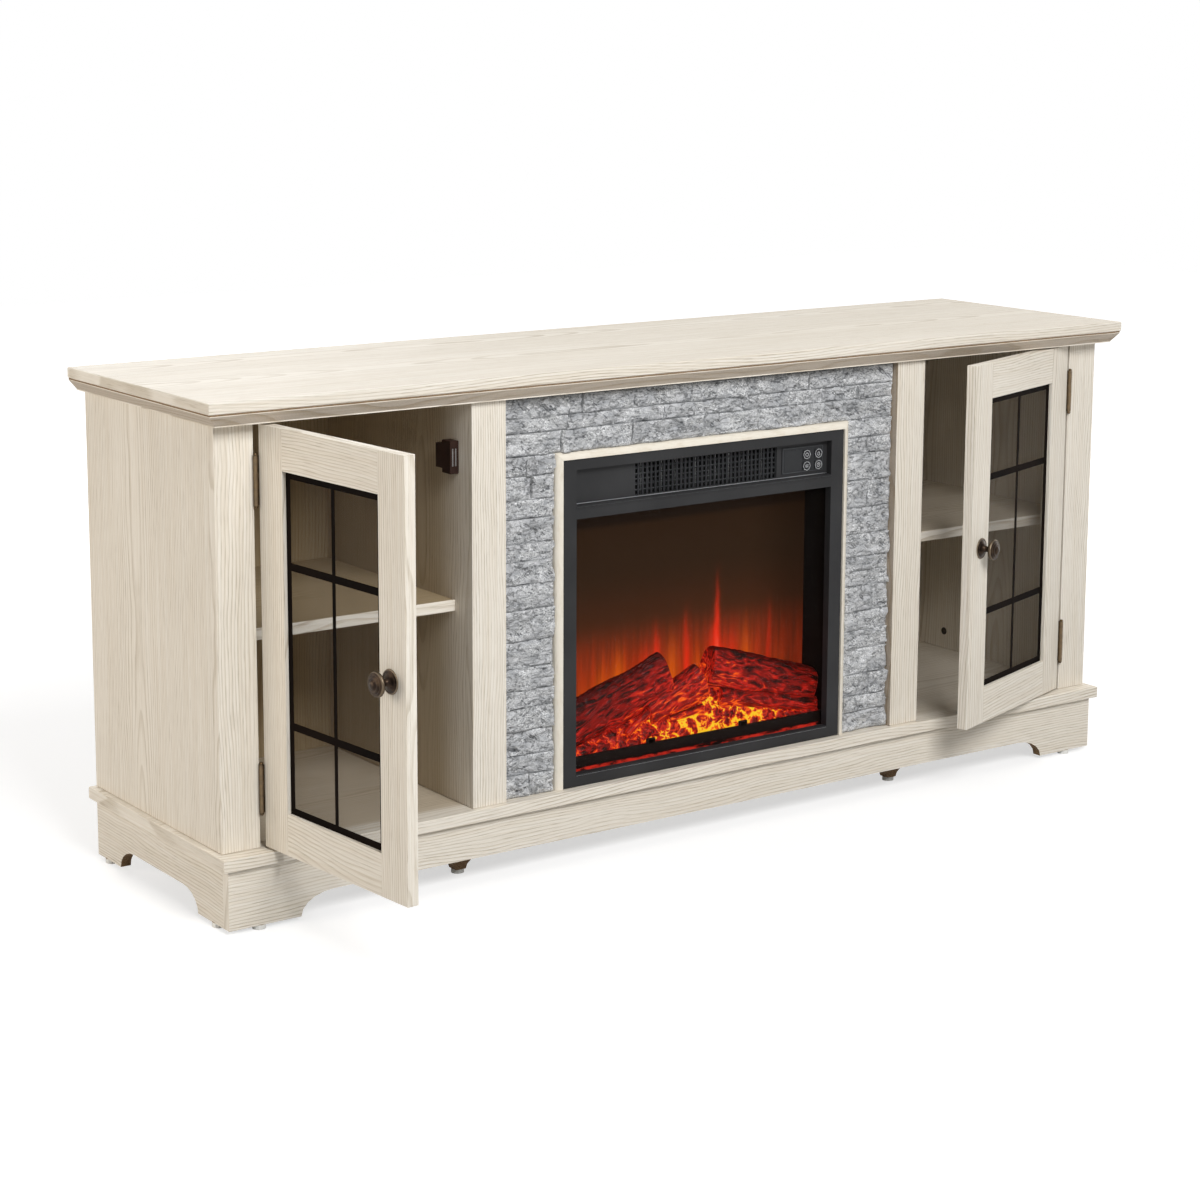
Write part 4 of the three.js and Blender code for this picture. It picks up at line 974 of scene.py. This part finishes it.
def ember_heap(low, high):
    """The bank of embers that rises from behind the fret bar to the logs, as lumps with cracks between."""
    mesh, glow_layer, rest_layer = glowing_mesh()
    bmesh.ops.create_grid(mesh, x_segments=430, y_segments=84, size=0.5)
    for vert in mesh.verts:
        across, up = vert.co.x + 0.5, vert.co.y + 0.5
        x = low.x + 0.0006 + across * (high.x - low.x - 0.0012)
        z = ember_foot + up * (ember_rise + ember_crest * math.exp(-((x - 0.025) / 0.12) ** 2))
        vert[rest_layer] = (x, up * 0.02, z * 4.5 + 3)
        lump_place = Vector((x * 42, 0.3, z * 48))
        lump_place += 0.45 * noise.noise_vector(lump_place * 0.9)
        near = noise.voronoi(lump_place)[0]
        border = near[1] - near[0]
        dome = math.sqrt(min(1.0, border * 1.5))
        grit = noise.fractal(Vector((x * 160, 2, z * 160)), 0.8, 2.0, 3)
        y = low.y + 0.0060 + ember_slope * up ** 1.4 - lump_depth * dome - 0.0006 * grit
        clear = fret_clear if z < fret_head else glass_clear
        vert.co = Vector((x, max(y, low.y + clear), z + 0.0015 * dome))
        # The painted glow of the embers: strongest near the middle and low down, and in the cracks between
        # lumps.
        crack = max(0.0, 1 - border * 3.8)
        wide = min(1.0, max(0.0, 1.45 - abs(x - 0.040) / 0.105))
        tall = min(1.0, max(0.0, (0.204 - z) / 0.040))
        patch = noise.noise(Vector((x * 26, 4, z * 34)))
        glow_spot = wide * tall * (0.62 + 0.75 * patch)
        vert[glow_layer] = 0.22 + glow_spot * (0.42 + 0.70 * crack) + (0.12 + 0.20 * tall) * crack
    skirt = bmesh.ops.extrude_edge_only(mesh, edges=[edge for edge in mesh.edges if edge.is_boundary])["geom"]
    for vert in [item for item in skirt if isinstance(item, bmesh.types.BMVert)]:
        vert.co = Vector((vert.co.x, max(vert.co.y, low.y + skirt_back), low.z + skirt_foot))
        vert[glow_layer] = 0.0
    return mesh


def ember_resin_finish():
    """Dark red resin with a painted glow in the creases of its bark, from deep red to yellow where the glow
    is strongest.
    """
    start = open_finish("ember resin")
    painted_glow = start.node("ShaderNodeAttribute", {"attribute_name": glow_name}, None, "Fac")
    rest = start.node("ShaderNodeAttribute", {"attribute_name": "rest"}, None, "Vector")
    swirl = rest.stretch(34, 34, 16).grains(output="Color").vector("SUBTRACT", (0.5, 0.5, 0.5))
    bent = swirl.vector("MULTIPLY_ADD", (0.022, 0.022, 0.050), rest)
    bark = bent.stretch(105, 105, 24).grains(3.0, 0.55)
    fine = bent.stretch(300, 300, 80).grains(3.0, 0.6)
    ridge = abs(bark - 0.5)
    crease = (ridge * 11).step(1.0, 0.0)
    crest = (abs(fine - 0.5) * 34).step(1.0, 0.2) * ridge.step(0.03, 0.09)
    glow = painted_glow * (0.84 + 0.75 * crease) - ridge * 0.8
    # Base colour darker on the ridges, with painted highlights along the crests of the fine bark.
    colour = coats(
        paint(84, 12, 8), (ridge.step(0.02, 0.16), paint(30, 8, 6)), (crest * 0.16, paint(150, 66, 52)))
    # The painted glow, given as emission, from deep red to yellow.
    light = coats(
        (0.002, 0.0008, 0.0006, 1),
        (glow.step(0.02, 0.26), ember_dark),
        (glow.step(0.26, 0.52), ember_red),
        (glow.step(0.56, 0.84), ember_orange),
        (glow.step(0.82, 1.12), ember_yellow),
    )
    return close_finish(start, {
        "Base Color": colour, "Roughness": 0.26 + 0.2 * fine, "Emission Color": light,
        "Emission Strength": 1.0, "Specular IOR Level": 0.10,
    }, ridge * 3 + fine * 0.5, 0.0014)


log_low, log_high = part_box("log_set")
ember_resin = ember_resin_finish()


def mould(name, mesh):
    """A part of the moulding, kept inside the place that it has behind the glass."""
    for vert in mesh.verts:
        vert.co.x = min(max(vert.co.x, log_low.x + mould_play), log_high.x - mould_play)
        vert.co.y = min(max(vert.co.y, log_low.y + mould_play), log_high.y - mould_front_play)
        vert.co.z = max(vert.co.z, log_low.z + mould_foot_play)
    new_piece(name, mesh, ember_resin, "cabinet", "ember_resin", "log_set", smooth=True)


mould("ember_heap", ember_heap(log_low, log_high))
for name, start, end, radius_start, radius_end, seed, glow in (
    ("log_left", (-0.2340, 0.0010, 0.1720), (-0.0440, 0.0010, 0.2330), 0.0330, 0.0350, 2.0, 0.66),
    ("log_middle", (-0.0780, -0.0040, 0.1800), (0.0180, -0.0020, 0.2140), 0.0200, 0.0310, 9.0, 0.95),
    ("log_right", (0.0350, 0.0020, 0.2340), (0.2310, 0.0010, 0.1750), 0.0330, 0.0290, 17.0, 0.74),
    ("log_low_right", (0.0500, -0.0045, 0.1880), (0.2310, -0.0060, 0.1500), 0.0140, 0.0120, 33.0, 0.80),
    ("twig_left", (-0.1220, -0.0145, 0.1590), (-0.0830, -0.0125, 0.1850), 0.0050, 0.0060, 41.0, 1.05),
    ("twig_middle", (-0.0460, -0.0150, 0.1690), (0.0150, -0.0140, 0.1770), 0.0050, 0.0062, 47.0, 1.10),
):
    mould(name, log(start, end, radius_start, radius_end, seed, glow))

# The fret bar before the embers: folded steel, painted dark brown, with two clips; the light
# strip on its back shows as a red line along its foot.
fret_foot = 0.1235
clip_middles = (-0.0836, 0.0850)
clip_half = 0.0078
clip_down = 0.007
clip_up = 0.0022
clip_ease = 0.0016


def fret_finish():
    """Dark brown paint with a broken red line of light along the foot."""
    start = open_finish("fret bar brown")
    place = measured(start, (0, 0, 0))
    grain = place.stretch(900, 900, 900).grains(3.0)
    mottle = place.stretch(60, 60, 160).grains(4.0, 0.6)
    foot = place.parts()[2].step(fret_foot + 0.002, fret_foot) * mottle.step(0.38, 0.62)
    return close_finish(start, {
        "Base Color": mottle.tint(paint(17, 10, 8), paint(24, 14, 11)), "Roughness": 0.5 + 0.15 * grain,
        "Specular IOR Level": 0.1, "Emission Color": foot.tint((0.0, 0.0, 0.0, 1), paint(206, 44, 30)),
        "Emission Strength": 0.9,
    }, grain, 0.0001)


fret_paint = fret_finish()
dress(fret_paint, "fret_bar")
low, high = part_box("fret_bar")
clips = bmesh.new()
for x in clip_middles:
    clip_low = (x - clip_half, low.y, high.z - clip_down)
    block(clips, clip_low, (x + clip_half, high.y, high.z + clip_up), clip_ease, 3)
new_piece("fret_clips", clips, fret_paint, "cabinet", "grey_steel")

# The firebox's glass: one tempered pane, tinted a little brown and almost clear, clipped
# behind the frame.
fire_glass = grained(
    "fire glass", 0.3, (30, 30, 14), (3.0,), None, (paint(30, 22, 17), paint(38, 28, 22)),
    {"Roughness": (0.03, 0.04), "Alpha": (0.05, 0.03), "Specular IOR Level": 0.05})
dress(fire_glass, "insert_glass")

# The two doors: stiles and rails of oak-faced board, rabbeted for the pane and doweled
# together, hung on two butt hinges each. They stand open as they were photographed.
door_joints = {joint["child"]: joint for joint in frame["joints"]}
door_heart = 0.08
door_ease = 0.0005
rabbet_deep = 0.006
rabbet_play = 0.0001
pane_lap = 0.00585
pane_thick = 0.004
pane_ease = 0.0003
strip_front = 0.0007
grid_border = 0.0092
half_upright = 0.0033
half_bar = 0.0050
lower_bar_rise = 0.11675
upper_bar_drop = 0.12125
stile_shy = 0.0002


def hang(side):
    """What turns a shut door to where it stands open."""
    joint = door_joints[f"door_{side}"]
    pivot = Vector(joint["pos_m"])
    swing = math.radians(joint["range_deg"][0]) * joint["axis"][2]
    return Matrix.Translation(pivot) @ Matrix.Rotation(-swing, 4, "Z") @ Matrix.Translation(-pivot), -swing


def shut_box(name, side):
    """Lowest and highest corner of a CAD node of a door, with the door turned shut."""
    shut = hang(side)[0].inverted()
    corners = [shut @ vert.co for vert in nodes[name].data.vertices]
    low = Vector(min(corner[axis] for corner in corners) for axis in range(3))
    high = Vector(max(corner[axis] for corner in corners) for axis in range(3))
    return low, high


def hung_piece(name, side, mesh, finish, slot, *replaced, smooth=False):
    """A piece made at a shut door, then turned with the door and put on its body."""
    bmesh.ops.transform(mesh, verts=mesh.verts, matrix=hang(side)[0])
    return new_piece(name, mesh, finish, f"door_{side}", slot, *replaced, smooth=smooth)


def door_member(name, side, along, front, lip, back, lip_rim, deep_rim):
    """A stile or rail: its lip before the pane and its deeper part beside it, each given by its rim."""
    mesh = bmesh.new()
    left, right, foot, head = lip_rim
    block(mesh, (left, front, foot), (right, lip, head), door_ease, 2)
    low, high = Vector((left, front, foot)), Vector((right, back, head))
    left, right, foot, head = deep_rim
    block(mesh, (left, lip, foot), (right, back, head), door_ease, 2)
    low = Vector(map(min, low, (left, lip, foot)))
    high = Vector(map(max, high, (right, back, head)))
    turned, swing = hang(side)
    finish = oak(f"oak {name}", turned @ ((low + high) / 2), along, 1, swing, None, door_heart)
    return hung_piece(name, side, mesh, finish, "oak")


pane_glass = grained(
    "smoked pane", 0.38, (20, 20, 12), (3.0,), None, (paint(46, 34, 15), paint(54, 41, 20)),
    {"Roughness": (0.03, 0.05), "Alpha": (0.18, 0.05), "Specular IOR Level": 0.08})
strip_black = powder_coat("black strips", paint(22, 15, 11), paint(13, 9, 7), 0.06, 0.01)

for side in ("left", "right"):
    frame_low, frame_high = shut_box(f"door_frame_{side}", side)
    left, right = frame_low.x + stile_shy, frame_high.x - stile_shy
    foot, head = frame_low.z, frame_high.z
    pane_low, pane_high = shut_box(f"door_glass_{side}", side)
    open_left, open_right = pane_low.x + pane_lap, pane_high.x - pane_lap
    open_foot, open_head = pane_low.z + pane_lap, pane_high.z - pane_lap
    deep_left, deep_right = pane_low.x - rabbet_play, pane_high.x + rabbet_play
    deep_foot, deep_head = pane_low.z - rabbet_play, pane_high.z + rabbet_play
    for place, along, lip_rim, deep_rim in (
        ("stile_low_x", 2, (left, open_left, foot, head), (left, deep_left, foot, head)),
        ("stile_high_x", 2, (open_right, right, foot, head), (deep_right, right, foot, head)),
        ("rail_foot", 0, (open_left, open_right, foot, open_foot), (deep_left, deep_right, foot, deep_foot)),
        ("rail_head", 0, (open_left, open_right, open_head, head), (deep_left, deep_right, deep_head, head)),
    ):
        front, back = frame_low.y, frame_high.y
        door_member(f"door_{side}_{place}", side, along, front, front + rabbet_deep, back, lip_rim, deep_rim)
    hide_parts(f"door_frame_{side}")

    pane = bmesh.new()
    glass_front = pane_high.y - pane_thick
    block(pane, (pane_low.x, glass_front, pane_low.z), pane_high, pane_ease)
    hung_piece(f"door_{side}_pane", side, pane, pane_glass, "smoked_glass", f"door_glass_{side}")

    strips = bmesh.new()
    middle = (open_left + open_right) / 2
    in_left, in_right = open_left + grid_border, open_right - grid_border
    in_foot, in_head = open_foot + grid_border, open_head - grid_border
    bars = [
        (open_left, in_left, open_foot, open_head),
        (in_right, open_right, open_foot, open_head),
        (in_left, in_right, open_foot, in_foot),
        (in_left, in_right, in_head, open_head),
        (middle - half_upright, middle + half_upright, in_foot, in_head),
    ]
    for height in (open_foot + lower_bar_rise, open_head - upper_bar_drop):
        bars.append((in_left, middle - half_upright, height - half_bar, height + half_bar))
        bars.append((middle + half_upright, in_right, height - half_bar, height + half_bar))
    for bar_left, bar_right, bar_foot, bar_head in bars:
        bar_low = (bar_left, glass_front - strip_front, bar_foot)
        block(strips, bar_low, (bar_right, glass_front, bar_head), sharp_ease)
    hung_piece(f"door_{side}_strips", side, strips, strip_black, "black_plastic", f"door_glass_{side}")

# The knobs: die-cast, plated antique bronze and rubbed bright on their rings, each on a small
# stepped rosette and held by a screw from the back of the stile.
bronze_rub = paint(150, 134, 112)
# Each point of the outline is a share of the knob's radius and a share of its reach.
knob_outline_shares = (
    (0.0, 0.0), (1.00, 0.0), (0.97, 0.035), (0.86, 0.05), (0.80, 0.03), (0.76, 0.07), (0.60, 0.10),
    (0.52, 0.14), (0.32, 0.20), (0.27, 0.30), (0.27, 0.44), (0.36, 0.52), (0.62, 0.57), (0.92, 0.61),
    (1.00, 0.67), (1.00, 0.72), (0.95, 0.78), (0.88, 0.79), (0.84, 0.775), (0.79, 0.83), (0.72, 0.84),
    (0.68, 0.82), (0.62, 0.88), (0.48, 0.90), (0.44, 0.885), (0.38, 0.94), (0.20, 0.985), (0.0, 1.0),
)


def antique_bronze(name, lively, dark, brown):
    """Dark plated bronze with fine pits, rubbed bright on its edges."""
    start = open_finish(name)
    place = measured(start, (0, 0, 0))
    cloud = place.stretch(160, 160, 160).grains(4.0, 0.6)
    pits = place.stretch(1400, 1400, 1400).grains(2.0)
    edge = start.node("ShaderNodeNewGeometry", None, None, "Pointiness").step(0.52, 0.60)
    colour = coats(dark, (cloud.step(0.35, 0.7), brown), (edge * lively, bronze_rub))
    inputs = {"Base Color": colour, "Metallic": 1.0, "Roughness": 0.30 + 0.22 * cloud}
    return close_finish(start, inputs, pits * 0.5 + cloud, 0.00015)


def turned_shape(mesh, foot, outline, across, along, steps):
    """An outline spun about a line and added to a mesh: each point is a reach across and a rise along."""
    points = [mesh.verts.new(foot + across * reach + along * rise) for reach, rise in outline]
    chain = [mesh.edges.new(pair) for pair in zip(points, points[1:])]
    bmesh.ops.spin(mesh, geom=[*points, *chain], cent=foot, axis=along, angle=math.tau, steps=steps,
                   use_merge=True)


knob_bronze = antique_bronze("bronze knob", 0.6, paint(42, 34, 30), paint(66, 53, 42))
for side in ("left", "right"):
    low, high = shut_box(f"knob_{side}", side)
    back = Vector(((low.x + high.x) / 2, high.y, (low.z + high.z) / 2))
    radius, reach = (high.z - low.z) / 2, high.y - low.y
    outline = [(share * radius, out * reach) for share, out in knob_outline_shares]
    knob = bmesh.new()
    turned_shape(knob, back, outline, Vector((1, 0, 0)), Vector((0, -1, 0)), 48)
    hung_piece(f"turned_knob_{side}", side, knob, knob_bronze, "bronze", f"knob_{side}", smooth=True)

# The butt hinges: two folded leaves on a pin, in the same bronze, with a small button at each
# end of the pin. They are screwed into the edges of door and stile.
button_outline = (
    (0.0, -0.0002), (0.0031, -0.0002), (0.0031, 0.0004), (0.0023, 0.0009), (0.0024, 0.0014),
    (0.0018, 0.0023), (0.0, 0.0026),
)
hinge_bronze = antique_bronze("bronze hinge", 0.35, paint(58, 43, 27), paint(100, 78, 49))
for side in ("left", "right"):
    pivot = Vector(door_joints[f"door_{side}"]["pos_m"])
    for level in ("lower", "upper"):
        dress(hinge_bronze, f"{level}_hinge_leaf_{side}", f"{level}_door_leaf_{side}")
        low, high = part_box(f"{level}_hinge_leaf_{side}")
        buttons = bmesh.new()
        for height, up in ((high.z, 1), (low.z, -1)):
            end = Vector((pivot.x, pivot.y, height))
            turned_shape(buttons, end, button_outline, Vector((1, 0, 0)), Vector((0, 0, up)), 20)
        new_piece(f"{level}_hinge_buttons_{side}", buttons, hinge_bronze, "cabinet", "bronze", smooth=True)

# The catches: a brown plastic body with two steel strips over its magnet, screwed to the
# partition just behind the door.
strip_places = (0.0030, 0.0078)
strip_thick = 0.0018
strip_out = 0.0006
strip_length = 0.010
strip_half = 0.012
dress(powder_coat("catch brown", paint(58, 38, 30), paint(42, 26, 20)), "catch_left", "catch_right")
for side, sign in (("left", -1), ("right", 1)):
    low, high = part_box(f"catch_{side}")
    outer = low.x if side == "left" else high.x
    middle = (low.z + high.z) / 2
    mesh = bmesh.new()
    for place in strip_places:
        x0, x1 = sorted((outer - sign * place, outer - sign * (place + strip_thick)))
        strip_low = (x0, low.y - strip_out, middle - strip_half)
        block(mesh, strip_low, (x1, low.y + strip_length, middle + strip_half), fine_ease)
    new_piece(f"catch_strips_{side}", mesh, bright_metal, "cabinet", "fin_aluminium")

# The caps over the cam bolts inside the bays: small round covers of brown plastic, dished in
# the middle and pressed into the side panels.
cap_depths = (0.045, 0.280)
cap_heights = (0.135, 0.634)
cap_outline = (
    (0.0, 0.0), (0.0062, 0.0), (0.0062, 0.0006), (0.0054, 0.0011), (0.0022, 0.0011), (0.0018, 0.0007),
    (0.0, 0.0007),
)
cap_brown = powder_coat("cap brown", paint(70, 64, 56), paint(48, 43, 38))
caps = bmesh.new()
for side, sign in (("left", -1), ("right", 1)):
    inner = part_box(f"side_panel_{side}")[0 if side == "right" else 1].x
    for y in cap_depths:
        for z in cap_heights:
            foot = Vector((inner, y, z))
            turned_shape(caps, foot, cap_outline, Vector((0, 1, 0)), Vector((-sign, 0, 0)), 24)
new_piece("cam_caps", caps, cap_brown, "cabinet", "brown_plastic", smooth=True)
